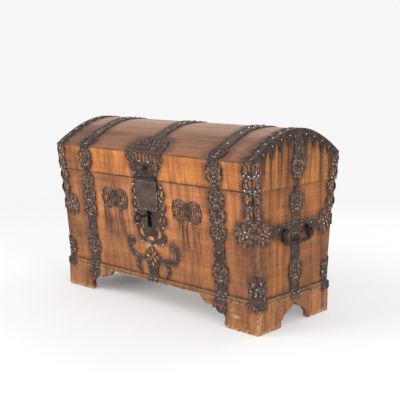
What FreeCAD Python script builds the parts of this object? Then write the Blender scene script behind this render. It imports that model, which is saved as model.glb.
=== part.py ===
import FreeCAD, Part
import math
import os

# Dome-lid chest with leaning front and back, bracket feet and pierced iron straps.
# X runs along the chest, +X to the right of someone facing it; +Y is the back; +Z is up.
# Lengths in millimetres, angles in degrees. The floor is z = 0.

V = FreeCAD.Vector

# Chest body
chest_width = 1240.0
chest_depth = 594.0
seam_height = 612.0
lean_share = 0.102
board = 25.0
bottom_thickness = 22.0

# Base under the body
base_height = 122.0
moulding_height = 26.0
moulding_chamfer = 7.0
moulding_lip = 2.5
base_projection = 8.0
bracket_width = 333.0
arch_half_width = 100.0
arch_height = 104.0
block_size = 50.0
block_lift = 4.0

# Lid
lid_overhang = 5.0
lid_rail_height = 123.0
crest_radius = 380.0
flank_radius = 744.0
crest_half_angle = 20.0
dome_thickness = 22.0
edge_stave_angle = 31.2
crest_stave_angle = 13.5
spring_margin_angle = 4.0

# Ironwork
iron = 3.0
seam_gap = 0.5
strap_width = 58.0
nail_radius = 4.0
mid_band_inset = 200.0
mid_band_width = 94.0
mid_band_foot = 60.0
medallion_height = 116.0
lower_medallion_height = 111.0
lower_medallion_rise = 86.5
lobe_run_drop = 123.0
lobe_run_pitch = 72.0
lobe_run_lobe_height = 88.0
lobe_hole_radius = 11.0

# Lock plate, key and lock
escutcheon_width = 232.0
escutcheon_gap = 22.0
escutcheon_height = 290.0
escutcheon_lobe_radius = 28.0
keyhole_radius = 8.0
keyhole_drop = 60.0
keyhole_slot_width = 12.0
key_drop = 164.0
key_shank_radius = 5.0
key_reach = 95.0
key_bow_radius = 16.0
key_wire_radius = 4.5
key_collar_radius = 9.0
key_collar_length = 6.0
key_collar_gap = 9.0
key_bit_radius = 28.0
key_bit_thickness = 6.0
key_bit_width = 10.0
key_clearance = 0.1
case_half_width = 60.0
case_seam_gap = 14.85
case_bottom = 45.0
case_depth = 32.0
case_wall = 3.0
case_slot_margin = 4.0
bolt_travel = 20.0
bolt_thickness = 8.0
bolt_height = 12.0
bolt_setback = 10.0
bolt_arm_width = 20.0
bolt_gap = 0.6
bolt_tip_gap = 4.0
guide_gap = 0.3
catch_thickness = 6.0
catch_offset = 22.0
catch_clearance = 0.5
catch_rim = 2.5
catch_plate_width = 60.0
catch_plate_height = 40.0

# Hasp
hasp_width = 140.0
hasp_drop = 152.0
hasp_thickness = 4.0
hasp_pin_radius = 2.5
hasp_barrel_radius = 6.0
hasp_rise = 7.0
hasp_knuckle_length = 27.6
hasp_gap = 0.33
pin_clearance = 0.05
knuckle_gap = 0.5
corner_round = 14.0

# Lid ornament and knob
ornament_top_width = 235.0
ornament_low_width = 175.0
ornament_clear = 14.0
knob_rise = 54.0
knob_radius = 11.0
knob_neck_radius = 6.0
knob_neck_length = 10.0

# Back hinges
hinge_barrel_radius = 7.0
hinge_pin_radius = 3.0
hinge_gap = 0.3
hinge_knuckle_length = 24.0
hinge_knuckles = 3
hinge_leaf_drop = 320.0
web_thickness = 6.0

# Drop handles
handle_set = 3.0
handle_half_span = 90.0
handle_bulge = 12.0
handle_drop = 56.0
handle_wire = 5.5
handle_stub_radius = 4.0
handle_standoff = 14.0
handle_bead_radius = 9.0
eye_half_width = 7.0
eye_radius = 9.0
eye_clearance = 0.1

# Fittings on the ends
end_strap_place = 4.0
end_medallion_width = 92.0
end_medallion_drop = 72.0
end_medallion_rise = 84.5
lid_end_medallion_rise = 83.0
lid_end_medallion_height = 100.0
cross_drop = 183.0
cross_width = 50.0
rosette_width = 117.0
rosette_height = 108.0
corner_iron_width = 58.0
corner_iron_rise = 51.0
palmette_height = 118.0
palmette_sink = 6.0
palmette_width = 52.0
clasp_height = 34.0
clasp_width = 62.0
arch_edging_width = 24.0
pendant_length = 46.0
pendant_width = 26.0
pendant_count = 9

# Dome bands
edge_band_width = 48.0
edge_scallop_radius = 11.0
edge_scallop_count = 13
band_ornament_length = 68.0
crest_diamond_half_length = 100.0
crest_diamond_half_width = 48.0
centre_taper_length = 106.0

# Base ornament of the front
finial_gap = 2.0
diamond_height_share = 0.647
diamond_bottom_share = 0.207
diamond_half_width = 50.0
arm_reach = 152.0
arm_width = 15.0
arm_curl_radius = 12.0
cartouche_width_share = 0.681
cartouche_height_share = 0.6
cartouche_stroke = 13.0
left_cartouche_set = 12.5
left_cartouche_drop = 115.0
right_cartouche_set = 3.5
right_cartouche_drop = 123.0

# Shares of the outlines: each pair is across, up
bracket_outline_shares = (
    (0.955, 0.81), (0.80, 0.73),
    (0.772, 0.607),
    (0.682, 0.63), (0.604, 0.50),
    (0.552, 0.35), (0.55, 0.26),
    (0.565, 0.14), (0.523, 0.0),
)
arch_outline_shares = ((0.95, 0.29), (0.86, 0.35), (0.73, 0.50), (0.53, 0.61), (0.28, 0.71), (0.0, 1.0))
medallion_lobe_shares = (
    (0.0, 0.0, 0.66), (0.0, 0.58, 0.48), (0.55, 0.36, 0.45), (-0.55, 0.36, 0.45),
    (0.58, -0.18, 0.42), (-0.58, -0.18, 0.42), (0.33, -0.54, 0.42), (-0.33, -0.54, 0.42),
    (0.0, -0.76, 0.26),
)
medallion_hole_shares = (
    (0.0, 0.56, 0.17), (0.48, 0.34, 0.16), (-0.48, 0.34, 0.16), (0.0, 0.05, 0.19),
    (0.48, -0.18, 0.14), (-0.48, -0.18, 0.14), (0.0, -0.50, 0.14),
)
rosette_lobe_shares = (
    (0.0, 0.0, 0.62), (0.0, 0.60, 0.38), (0.0, -0.60, 0.38), (0.60, 0.0, 0.40),
    (-0.60, 0.0, 0.40), (0.46, 0.46, 0.36), (-0.46, 0.46, 0.36), (0.46, -0.46, 0.36),
    (-0.46, -0.46, 0.36),
)
rosette_hole_shares = (
    (0.0, 0.56, 0.14), (0.0, -0.56, 0.14), (0.56, 0.0, 0.14), (-0.56, 0.0, 0.14),
    (0.38, 0.40, 0.13), (-0.38, 0.40, 0.13), (0.38, -0.40, 0.13), (-0.38, -0.40, 0.13),
)
escutcheon_side_shares = (0.85, 0.645, 0.425, 0.15)
escutcheon_foot_shares = ((0.0, 0.10), (0.42, 0.13), (-0.42, 0.13))
escutcheon_hole_shares = ((0.0, 0.17, 0.20), (0.44, 0.20, 0.15), (-0.44, 0.20, 0.15))
arm_left_shares = ((0.26, 0.45), (0.60, 0.42), (0.87, 0.52), (0.99, 0.81), (1.0, 1.0), (0.90, 1.06))
arm_right_shares = ((0.26, 0.42), (0.99, 0.53), (1.07, 0.84), (1.0, 1.03), (0.87, 1.08))
tail_shares = ((0.62, 0.44), (0.63, 0.32), (0.66, 0.02), (0.60, -0.20))
palmette_leaf_shares = ((0.75, 0.35), (0.48, 0.62), (0.22, 0.88))
wing_share = 0.875
band_nail_shares = (-0.9, -0.62, -0.3, -0.12, 0.12, 0.3, 0.62, 0.9)

# Worked out from the sizes above
overrun = chest_width
half_width = chest_width / 2
half_depth = chest_depth / 2
lean_angle = math.degrees(math.atan(lean_share))
lean_cos = math.cos(math.radians(lean_angle))
moulding_top = base_height + moulding_height
plinth_half_width = half_width + base_projection
lid_half_width = half_width + lid_overhang
lid_half_depth = half_depth + lid_overhang
spring_height = seam_height + lid_rail_height
spring_half_depth = lid_half_depth + lean_share * lid_rail_height
half_strap = strap_width / 2

# Heights of the fittings, from the seam, the moulding and each other
mid_band_place = half_width - mid_band_inset
lobe_run_z = seam_height - lobe_run_drop
lower_medallion_z = moulding_top + lower_medallion_rise
escutcheon_top = seam_height - escutcheon_gap
escutcheon_bottom = escutcheon_top - escutcheon_height
key_height = seam_height - key_drop
case_top = key_drop / lean_cos - case_seam_gap
knob_height = seam_height + knob_rise
cross_height = seam_height - cross_drop
handle_height = cross_height - handle_set
end_upper_medallion_z = seam_height - end_medallion_drop
end_lower_medallion_z = moulding_top + end_medallion_rise
lid_end_medallion_z = seam_height + lid_end_medallion_rise
corner_iron_bottom = cross_height + corner_iron_rise
palmette_bottom = moulding_top - palmette_sink
palmette_top = palmette_bottom + palmette_height
clasp_bottom = palmette_bottom - clasp_height
finial_top = escutcheon_bottom - finial_gap
ornament_height = finial_top - moulding_top
diamond_height = moulding_top + diamond_height_share * ornament_height
diamond_bottom = moulding_top + diamond_bottom_share * ornament_height

# The cartouches stand between the lock plate and the two bands
cartouche_room = mid_band_place - mid_band_width / 2 - escutcheon_width / 2
cartouche_middle = escutcheon_width / 2 + cartouche_room / 2
cartouche_width = cartouche_width_share * cartouche_room
cartouche_height = cartouche_height_share * cartouche_width


def body_half_depth(z):
    return half_depth - lean_share * (seam_height - z)


def rail_half_depth(z):
    return lid_half_depth + lean_share * (z - seam_height)


plinth_half_depth = body_half_depth(moulding_top) + base_projection

# The dome's section is one crest arc between two flatter flank arcs, tangent to it
crest_sin = math.sin(math.radians(crest_half_angle))
crest_cos = math.cos(math.radians(crest_half_angle))
spring_sin = crest_sin + (spring_half_depth - crest_radius * crest_sin) / flank_radius
spring_angle = math.degrees(math.asin(spring_sin))
spring_cos = math.cos(math.radians(spring_angle))
crest_centre_z = spring_height + flank_radius * (crest_cos - spring_cos) - crest_radius * crest_cos
crest_height = crest_centre_z + crest_radius


def dome_point(angle, outward=0.0):
    """Point (y, z) of the dome section at an angle from the vertical, moved outward."""
    side = -1 if angle < 0 else 1
    sine = math.sin(math.radians(abs(angle)))
    cosine = math.cos(math.radians(abs(angle)))
    if abs(angle) <= crest_half_angle:
        radius = crest_radius + outward
        return (side * radius * sine, crest_centre_z + radius * cosine)
    shift = crest_radius - flank_radius
    radius = flank_radius + outward
    across = shift * crest_sin + radius * sine
    return (side * across, crest_centre_z + shift * crest_cos + radius * cosine)


def dome_height(y, outward=0.0):
    """Height of the dome above a distance y from its middle."""
    y = abs(y)
    if y <= (crest_radius + outward) * crest_sin:
        return crest_centre_z + math.sqrt((crest_radius + outward) ** 2 - y ** 2)
    shift = crest_radius - flank_radius
    reach = y - shift * crest_sin
    return crest_centre_z + shift * crest_cos + math.sqrt((flank_radius + outward) ** 2 - reach ** 2)


def yz(point, x=0.0):
    return V(x, point[0], point[1])


def dome_edges(first, last, outward):
    """Arcs of the dome section from one angle to another, in order."""
    stops = [first]
    for bend in (-crest_half_angle, crest_half_angle):
        if min(first, last) < bend < max(first, last):
            stops.append(bend)
    stops.append(last)
    stops.sort(reverse=first > last)
    edges = []
    for a, b in zip(stops, stops[1:]):
        middle = dome_point((a + b) / 2, outward)
        arc = Part.Arc(yz(dome_point(a, outward)), yz(middle), yz(dome_point(b, outward)))
        edges.append(arc.toShape())
    return edges


def dome_slice(first, last, inward, outward, x0, x1):
    """Solid between two radii of the dome and two angles, from x0 to x1."""
    edges = dome_edges(first, last, outward)
    edges.append(Part.makeLine(yz(dome_point(last, outward)), yz(dome_point(last, inward))))
    edges += dome_edges(last, first, inward)
    edges.append(Part.makeLine(yz(dome_point(first, inward)), yz(dome_point(first, outward))))
    face = Part.Face(Part.Wire(edges))
    face.translate(V(x0, 0, 0))
    return face.extrude(V(x1 - x0, 0, 0))


def prism(points, direction):
    wire = Part.makePolygon(list(points) + [points[0]])
    return Part.Face(wire).extrude(direction)


def prism_x(outline, x0, x1):
    """Outline in (y, z), extruded from x0 to x1."""
    return prism([V(x0, y, z) for y, z in outline], V(x1 - x0, 0, 0))


def prism_y(outline, y0, y1):
    """Outline in (x, z), extruded from y0 to y1."""
    return prism([V(x, y0, z) for x, z in outline], V(0, y1 - y0, 0))


def box(x0, x1, y0, y1, z0, z1):
    return Part.makeBox(x1 - x0, y1 - y0, z1 - z0, V(x0, y0, z0))


def fuse(shapes):
    shapes = list(shapes)
    if len(shapes) == 1:
        return shapes[0]
    return shapes[0].multiFuse(shapes[1:]).removeSplitter()


def mirror_x(shape):
    return shape.mirror(V(0, 0, 0), V(1, 0, 0))


def mirror_y(shape):
    return shape.mirror(V(0, 0, 0), V(0, 1, 0))


def offset_path(path, distance):
    """The same path moved to its left by a distance, with mitred bends."""
    lines = []
    for (a0, b0), (a1, b1) in zip(path, path[1:]):
        length = math.hypot(a1 - a0, b1 - b0)
        lines.append(((a1 - a0) / length, (b1 - b0) / length))
    moved = []
    for i, (a, b) in enumerate(path):
        before = lines[max(i - 1, 0)]
        after = lines[min(i, len(lines) - 1)]
        normal = (-before[1] - after[1], before[0] + after[0])
        scale = distance / (1 + before[0] * after[0] + before[1] * after[1])
        moved.append((a + normal[0] * scale, b + normal[1] * scale))
    return moved


# Outlines drawn flat as (across, up) are turned on to the front or the end, and cut right through

def disc(u, v, radius):
    return Part.makeCylinder(radius, 2 * overrun, V(u, v, -overrun))


def plate_box(u0, u1, v0, v1):
    return box(u0, u1, v0, v1, -overrun, overrun)


def plate_polygon(points):
    return prism([V(u, v, -overrun) for u, v in points], V(0, 0, 2 * overrun))


def stroke(points, width):
    """Rounded bar of one width along a chain of points."""
    pieces = [disc(u, v, width / 2) for u, v in points]
    for (u0, v0), (u1, v1) in zip(points, points[1:]):
        length = math.hypot(u1 - u0, v1 - v0)
        du, dv = (u1 - u0) / length * width / 2, (v1 - v0) / length * width / 2
        corners = [(u0 - dv, v0 + du), (u1 - dv, v1 + du), (u1 + dv, v1 - du), (u0 + dv, v0 - du)]
        pieces.append(plate_polygon(corners))
    return fuse(pieces)


def lobes(u, v, half_u, half_v, shares):
    return [disc(u + a * half_u, v + b * half_v, r * min(half_u, half_v)) for a, b, r in shares]


def ring(u, v, radius, stroke_width):
    return disc(u, v, radius).cut(disc(u, v, radius - stroke_width))


def on_front(shape):
    return shape.rotated(V(0, 0, 0), V(1, 0, 0), 90)


def on_end(shape):
    return on_front(shape).rotated(V(0, 0, 0), V(0, 0, 1), 90)


def on_top(shape):
    return shape


def pierced(skin, turn, solid_parts, holes=()):
    """The part of a skin under a flat outline, with its holes cut through."""
    plate = skin.common(turn(fuse(solid_parts)))
    if holes:
        plate = plate.cut(Part.makeCompound([turn(hole) for hole in holes]))
    return plate.removeSplitter()


def lean_frame(shape):
    """Turns (x, up the slope, outward) into the chest's axes, from the key's place on the front."""
    turned = shape.rotated(V(0, 0, 0), V(1, 0, 0), 90 + lean_angle)
    return turned.translated(V(0, -body_half_depth(key_height), key_height))


def slope(z):
    """Distance up the front's slope from the key to a height."""
    return (z - key_height) / lean_cos


# Wooden boards of the body

front_outline = [(-half_depth, seam_height), (-body_half_depth(base_height), base_height),
                 (board - body_half_depth(base_height), base_height), (board - half_depth, seam_height)]
inner_outline = [(board - body_half_depth(base_height), base_height), (board - half_depth, seam_height),
                 (half_depth - board, seam_height), (body_half_depth(base_height) - board, base_height)]


def keyhole():
    parts = [disc(0, 0, keyhole_radius), disc(0, -keyhole_drop, keyhole_slot_width / 2),
             plate_box(-keyhole_slot_width / 2, keyhole_slot_width / 2, -keyhole_drop, 0)]
    return lean_frame(fuse(parts))


def front_side(shape):
    return shape.common(box(-overrun, overrun, -overrun, 0, -overrun, overrun))


def make_body_boards():
    front = prism_x(front_outline, -half_width, half_width)
    end = prism_x(inner_outline, half_width - board, half_width)
    bottom_top = base_height + bottom_thickness
    bottom = prism_x(inner_outline, board - half_width, half_width - board)
    bottom = bottom.common(box(-overrun, overrun, -overrun, overrun, base_height, bottom_top))
    return {
        "front_board": front.cut(front_side(keyhole())),
        "back_board": mirror_y(front),
        "left_end_board": mirror_x(end),
        "right_end_board": end,
        "bottom_board": bottom,
    }


def make_mouldings():
    top_depth = body_half_depth(moulding_top)
    profile = [(-body_half_depth(base_height), base_height), (-plinth_half_depth, base_height),
               (-plinth_half_depth, moulding_top - moulding_chamfer),
               (-top_depth - moulding_lip, moulding_top), (-top_depth, moulding_top)]
    outer_left = V(-plinth_half_width, -plinth_half_depth, base_height)
    outer_right = V(plinth_half_width, -plinth_half_depth, base_height)
    outer_back = V(plinth_half_width, plinth_half_depth, base_height)
    inner_left = V(-half_width, -top_depth, base_height)
    inner_right = V(half_width, -top_depth, base_height)
    inner_back = V(half_width, top_depth, base_height)
    mitre = [outer_left, outer_right, inner_right, inner_left]
    corner_wedge = prism(mitre, V(0, 0, moulding_height))
    inside = box(-half_width, half_width, -top_depth, 0, base_height, moulding_top)
    front = prism_x(profile, -plinth_half_width, plinth_half_width).common(corner_wedge.fuse(inside))
    end_profile = [(half_width, base_height), (plinth_half_width, base_height),
                   (plinth_half_width, moulding_top - moulding_chamfer),
                   (half_width + moulding_lip, moulding_top), (half_width, moulding_top)]
    end_wedge = prism([outer_right, outer_back, inner_back, inner_right], V(0, 0, moulding_height))
    end = prism_y(end_profile, -plinth_half_depth, plinth_half_depth).common(end_wedge)
    return {
        "front_moulding": front.removeSplitter(),
        "back_moulding": mirror_y(front.removeSplitter()),
        "end_mouldings": Part.makeCompound([end, mirror_x(end)]),
    }


def make_brackets():
    def at(pair):
        return V(plinth_half_width - pair[0] * bracket_width, -plinth_half_depth, pair[1] * base_height)

    p = [at(pair) for pair in bracket_outline_shares]
    top_inner, top_outer, foot_outer = at((1, 1)), at((0, 1)), at((0, 0))
    edges = [Part.makeLine(foot_outer, top_outer), Part.makeLine(top_outer, top_inner),
             Part.Arc(top_inner, p[0], p[1]).toShape(), Part.makeLine(p[1], p[2]),
             Part.Arc(p[2], p[3], p[4]).toShape(), Part.Arc(p[4], p[5], p[6]).toShape(),
             Part.Arc(p[6], p[7], p[8]).toShape(), Part.makeLine(p[8], foot_outer)]
    bracket = Part.Face(Part.Wire(edges)).extrude(V(0, board, 0))
    return {
        "front_right_foot": bracket,
        "front_left_foot": mirror_x(bracket),
        "back_right_foot": mirror_y(bracket),
        "back_left_foot": mirror_x(mirror_y(bracket)),
    }


def make_end_plinths():
    def at(pair, side):
        return V(plinth_half_width - board, side * pair[0] * arch_half_width, pair[1] * arch_height)

    edges = []
    for side in (-1, 1):
        p = [at(pair, side) for pair in arch_outline_shares]
        floor = at((1, 0), side)
        edges += [Part.makeLine(floor, p[0]), Part.makeLine(p[0], p[1]),
                  Part.Arc(p[1], p[2], p[3]).toShape(), Part.Arc(p[3], p[4], p[5]).toShape()]
    edges.append(Part.makeLine(at((1, 0), -1), at((1, 0), 1)))
    arch = Part.Face(Part.Wire(Part.__sortEdges__(edges))).extrude(V(board, 0, 0))
    inner = plinth_half_depth - board
    plinth = box(plinth_half_width - board, plinth_half_width, -inner, inner, 0, base_height).cut(arch)
    return {"right_plinth": plinth, "left_plinth": mirror_x(plinth)}


def make_foot_blocks():
    x1 = plinth_half_width - board
    y0 = board - plinth_half_depth
    block = box(x1 - block_size, x1, y0, y0 + block_size, block_lift, base_height)
    pair = [block, mirror_y(block)]
    return {"foot_blocks": Part.makeCompound(pair + [mirror_x(b) for b in pair])}


# Wooden boards of the lid

above_rails = box(-overrun, overrun, -overrun, overrun, spring_height, spring_height + overrun)


def make_lid_boards():
    rail = prism_x([(-lid_half_depth, seam_height), (-spring_half_depth, spring_height),
                    (board - spring_half_depth, spring_height), (board - lid_half_depth, seam_height)],
                   -lid_half_width, lid_half_width)
    far_angle = spring_angle + spring_margin_angle
    outline = dome_edges(-far_angle, far_angle, -dome_thickness)
    start, end = yz(dome_point(-far_angle, -dome_thickness)), yz(dome_point(far_angle, -dome_thickness))
    corners = [end, V(0, end.y, seam_height), V(0, start.y, seam_height), start]
    outline += [Part.makeLine(a, b) for a, b in zip(corners, corners[1:])]
    under_dome = Part.Face(Part.Wire(outline)).extrude(V(overrun, 0, 0))
    reach = lean_share * overrun
    rail_inner = lid_half_depth - board
    between_rails = prism_x([(-rail_inner, seam_height), (-rail_inner - reach, seam_height + overrun),
                             (rail_inner + reach, seam_height + overrun), (rail_inner, seam_height)],
                            lid_half_width - board, lid_half_width)
    arched_end = between_rails.common(under_dome)
    cuts = [-far_angle, -edge_stave_angle, -crest_stave_angle, crest_stave_angle, edge_stave_angle, far_angle]
    nodes = {"lid_front_rail": rail, "lid_back_rail": mirror_y(rail),
             "lid_right_end": arched_end, "lid_left_end": mirror_x(arched_end)}
    for number, (first, last) in enumerate(zip(cuts, cuts[1:]), 1):
        stave = dome_slice(first, last, -dome_thickness, 0, -lid_half_width, lid_half_width)
        nodes[f"dome_board_{number}"] = stave.common(above_rails)
    return nodes


# Skins that the ironwork is cut from: one iron thick, lying on the wood

def between(path, distance):
    return path + offset_path(path, distance)[::-1]


top_of_body_iron = seam_height - seam_gap
bottom_of_lid_iron = seam_height + seam_gap
front_path = [(-body_half_depth(top_of_body_iron), top_of_body_iron),
              (-body_half_depth(moulding_top), moulding_top),
              (-body_half_depth(moulding_top) - moulding_lip, moulding_top),
              (-plinth_half_depth, moulding_top - moulding_chamfer), (-plinth_half_depth, 0)]
end_path = [(half_width, top_of_body_iron), (half_width, moulding_top),
            (half_width + moulding_lip, moulding_top),
            (plinth_half_width, moulding_top - moulding_chamfer), (plinth_half_width, 0)]
front_outer_path = offset_path(front_path, -iron)
end_outer_path = offset_path(end_path, iron)
fat_across = end_outer_path + [(-x, z) for x, z in end_outer_path[::-1]]
fat_deep = front_outer_path + [(-y, z) for y, z in front_outer_path[::-1]]
fat_from_front = prism_y(fat_across, -overrun, overrun)
fat_from_end = prism_x(fat_deep, -overrun, overrun)
body_front_skin = prism_x(between(front_path, -iron), -overrun, overrun).common(fat_from_front)
body_end_skin = prism_y(between(end_path, iron), -overrun, overrun).common(fat_from_end)

lid_outer_half_width = lid_half_width + iron
rail_path = [(-rail_half_depth(bottom_of_lid_iron), bottom_of_lid_iron), (-spring_half_depth, spring_height)]
rail_outer_path = [(y - iron, z) for y, z in rail_path[::-1]]
rail_skin = prism_x(rail_path + rail_outer_path, -lid_outer_half_width, lid_outer_half_width)
dome_skin = dome_slice(-spring_angle - spring_margin_angle, spring_angle + spring_margin_angle, 0, iron,
                       -lid_outer_half_width, lid_outer_half_width)
dome_skin = dome_skin.common(above_rails)


def make_lid_end_skin():
    edges = dome_edges(-spring_angle, spring_angle, 0)
    low = rail_half_depth(bottom_of_lid_iron) + iron
    high = spring_half_depth + iron
    corners = [yz(dome_point(spring_angle)), V(0, high, spring_height), V(0, low, bottom_of_lid_iron),
               V(0, -low, bottom_of_lid_iron), V(0, -high, spring_height), yz(dome_point(-spring_angle))]
    edges += [Part.makeLine(a, b) for a, b in zip(corners, corners[1:])]
    face = Part.Face(Part.Wire(edges))
    face.translate(V(lid_half_width, 0, 0))
    return face.extrude(V(iron, 0, 0))


lid_end_skin = make_lid_end_skin()


# Iron fittings of the body

def medallion(u, v, width, height):
    return (lobes(u, v, width / 2, height / 2, medallion_lobe_shares),
            lobes(u, v, width / 2, height / 2, medallion_hole_shares))


def medallion_run(u, v, pitch, width, height):
    """Three medallions one above another, run together where they meet."""
    solid, holes = [], []
    for step in (-1, 0, 1):
        more, more_holes = medallion(u, v + step * pitch, width, height)
        solid += more
        holes += more_holes
    return solid, holes


def make_mid_bands():
    u = mid_band_place
    run, run_holes = medallion_run(u, lobe_run_z, lobe_run_pitch, mid_band_width, lobe_run_lobe_height)
    low, low_holes = medallion(u, lower_medallion_z, mid_band_width, lower_medallion_height)
    neck = plate_box(u - half_strap / 3, u + half_strap / 3, lobe_run_z + lobe_run_pitch, top_of_body_iron)
    shaft = plate_box(u - half_strap, u + half_strap, lower_medallion_z, lobe_run_z - lobe_run_pitch)
    low_shaft = plate_box(u - half_strap, u + half_strap, mid_band_foot + half_strap, lower_medallion_z)
    toe = disc(u, mid_band_foot + half_strap, half_strap)
    toe_hole = disc(u, mid_band_foot + half_strap, lobe_hole_radius)
    solid = run + low + [neck, shaft, low_shaft, toe]
    band = pierced(body_front_skin, on_front, solid, run_holes + low_holes + [toe_hole])
    return {"front_right_band": band, "front_left_band": mirror_x(band)}


def make_base_ornament():
    span = diamond_bottom + finial_top - diamond_height

    def at(shares, side):
        return [(side * a * arm_reach, diamond_bottom + b * (finial_top - diamond_bottom)) for a, b in shares]

    diamond = plate_polygon([(0, finial_top), (diamond_half_width, diamond_height),
                             (half_strap, diamond_bottom), (-half_strap, diamond_bottom),
                             (-diamond_half_width, diamond_height)])
    shaft = plate_box(-half_strap, half_strap, base_height, span - diamond_half_width)
    finial = disc(0, finial_top - arm_width, arm_width)
    solid = [diamond, shaft, finial]
    for side, arm in ((-1, arm_left_shares), (1, arm_right_shares)):
        points = at(arm, side)
        solid += [stroke(points, arm_width), disc(points[-1][0], points[-1][1], arm_curl_radius)]
        tail = at(tail_shares, side)
        solid += [stroke(tail, arm_width), disc(tail[-1][0], tail[-1][1], arm_curl_radius)]
    holes = [disc(0, diamond_height, lobe_hole_radius)]
    for side in (-1, 1):
        across = side * diamond_half_width / 2
        holes.append(disc(across, diamond_height - lobe_hole_radius, lobe_hole_radius / 2))
        holes.append(disc(0, diamond_height + side * diamond_half_width * 2 / 3, lobe_hole_radius / 2))
    return {"base_ornament": pierced(body_front_skin, on_front, solid, holes)}


def make_cartouche(u, v):
    """Two round scrolls joined by a waist, with small curls between them."""
    radius = cartouche_height / 2
    offset = cartouche_width / 2 - radius
    parts = [ring(u - offset, v, radius, cartouche_stroke), ring(u + offset, v, radius, cartouche_stroke)]
    inner = radius / 2
    for side in (-1, 1):
        parts.append(ring(u + side * offset, v, inner, cartouche_stroke * 2 / 3))
        middle = u + side * offset
        parts.append(plate_box(middle - radius + cartouche_stroke / 2, middle - inner + cartouche_stroke / 2,
                               v - cartouche_stroke / 2, v + cartouche_stroke / 2))
    parts.append(disc(u, v, cartouche_stroke))
    return pierced(body_front_skin, on_front, parts)


def make_cartouches():
    left = make_cartouche(left_cartouche_set - cartouche_middle, seam_height - left_cartouche_drop)
    right = make_cartouche(cartouche_middle - right_cartouche_set, seam_height - right_cartouche_drop)
    return {"cartouches": Part.makeCompound([left, right])}


def make_escutcheon():
    height = escutcheon_top - escutcheon_bottom
    half = escutcheon_width / 2
    radius = escutcheon_lobe_radius
    core = plate_box(-half + radius, half - radius, escutcheon_bottom + radius * 2, escutcheon_top)
    solid, holes = [core], []
    for share in escutcheon_side_shares:
        for side in (-1, 1):
            place = (side * (half - radius), escutcheon_bottom + share * height)
            solid.append(disc(place[0], place[1], radius))
            holes.append(disc(place[0], place[1], lobe_hole_radius))
    for a, b in escutcheon_foot_shares:
        solid.append(disc(a * half, escutcheon_bottom + b * height, radius))
    for a, b, r in escutcheon_hole_shares:
        holes.append(disc(a * half, escutcheon_bottom + b * height, r * half / 2))
    plate = pierced(body_front_skin, on_front, solid, holes)
    return {"lock_plate": plate.cut(front_side(keyhole()))}


def make_end_straps():
    u = end_strap_place
    upper, upper_holes = medallion(u, end_upper_medallion_z, end_medallion_width, lower_medallion_height)
    low, low_holes = medallion(u, end_lower_medallion_z, end_medallion_width, lower_medallion_height)
    neck = plate_box(u - half_strap / 2, u + half_strap / 2, end_upper_medallion_z, top_of_body_iron)
    over = plate_box(u - half_strap, u + half_strap, cross_height + cross_width / 2, end_upper_medallion_z)
    below = plate_box(u - half_strap, u + half_strap, base_height, cross_height - cross_width / 2)
    solids = {}
    top = pierced(body_end_skin, on_end, upper + [neck, over], upper_holes)
    bottom = pierced(body_end_skin, on_end, low + [below], low_holes)
    solids["right_end_strap"] = Part.makeCompound([top, bottom])
    solids["left_end_strap"] = mirror_x(solids["right_end_strap"])
    return solids


def rosette(u, v):
    return (lobes(u, v, rosette_width / 2, rosette_height / 2, rosette_lobe_shares),
            lobes(u, v, rosette_width / 2, rosette_height / 2, rosette_hole_shares))


def make_cross_straps():
    half_rosette = rosette_width / 2
    end_holes = []
    reach = body_half_depth(cross_height) + iron
    strap = on_end(plate_box(-reach, reach, cross_height - cross_width / 2, cross_height + cross_width / 2))
    end_solid = [strap]
    for side in (-1, 1):
        solid, holes = rosette(side * (reach - half_rosette), cross_height)
        end_solid += [on_end(s) for s in solid]
        end_holes += [on_end(s) for s in holes]
    plate = body_end_skin.common(fuse(end_solid)).cut(Part.makeCompound(end_holes))
    corner = half_width + iron - half_rosette
    wrap, front_holes = rosette(corner, cross_height)
    wrap.append(plate_box(corner, half_width + iron,
                          cross_height - cross_width / 2, cross_height + cross_width / 2))
    front = pierced(body_front_skin, on_front, wrap, front_holes)
    strap = fuse([plate, front, mirror_y(front)])
    return {"right_cross_strap": strap, "left_cross_strap": mirror_x(strap)}


def scalloped_side(edge, toward, low, high, width):
    """A band beside a corner, its far side a row of half rounds, with a hole in each."""
    count = max(1, round((high - low) / width))
    pitch = (high - low) / count
    radius = pitch / 2
    inner = edge - toward * (width - radius)
    solid = [plate_box(min(edge, inner), max(edge, inner), low, high)]
    holes = []
    for i in range(count):
        up = low + pitch * (i + 1 / 2)
        solid.append(disc(inner, up, radius))
        holes.append(disc(inner, up, lobe_hole_radius))
    return solid, holes


def corner_iron(front_skin, end_skin, width_edge, depth_edge, low, high):
    """An iron that wraps the front right corner between two heights."""
    solid, holes = scalloped_side(width_edge, 1, low, high, corner_iron_width)
    front = pierced(front_skin, on_front, solid, holes)
    solid, holes = scalloped_side(-depth_edge, -1, low, high, corner_iron_width)
    end = pierced(end_skin, on_end, solid, holes)
    return fuse([front, end])


def four_corners(shape):
    pair = [shape, mirror_y(shape)]
    return Part.makeCompound(pair + [mirror_x(s) for s in pair])


def palmette_side(edge, toward):
    """Half of a fan of leaves beside a corner, with the square clasp below it."""
    fan_height = palmette_top - palmette_bottom
    hub = (edge - toward * palmette_width / 4, palmette_bottom + fan_height / 4)
    leaf = fan_height / 7
    heart = plate_polygon([(edge, palmette_top), (edge - toward * palmette_width / 2, palmette_top - leaf),
                           (edge - toward * palmette_width, hub[1]),
                           (edge - toward * palmette_width / 3, clasp_bottom), (edge, clasp_bottom)])
    solid = [heart]
    for across, up in palmette_leaf_shares:
        solid.append(disc(edge - toward * palmette_width * across, palmette_bottom + fan_height * up, leaf))
    holes = [disc(hub[0], hub[1] + rise, lobe_hole_radius / 2) for rise in (leaf * 2, 0)]
    solid.append(plate_box(min(edge, edge - toward * clasp_width), max(edge, edge - toward * clasp_width),
                           clasp_bottom, palmette_bottom))
    return solid, holes


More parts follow.
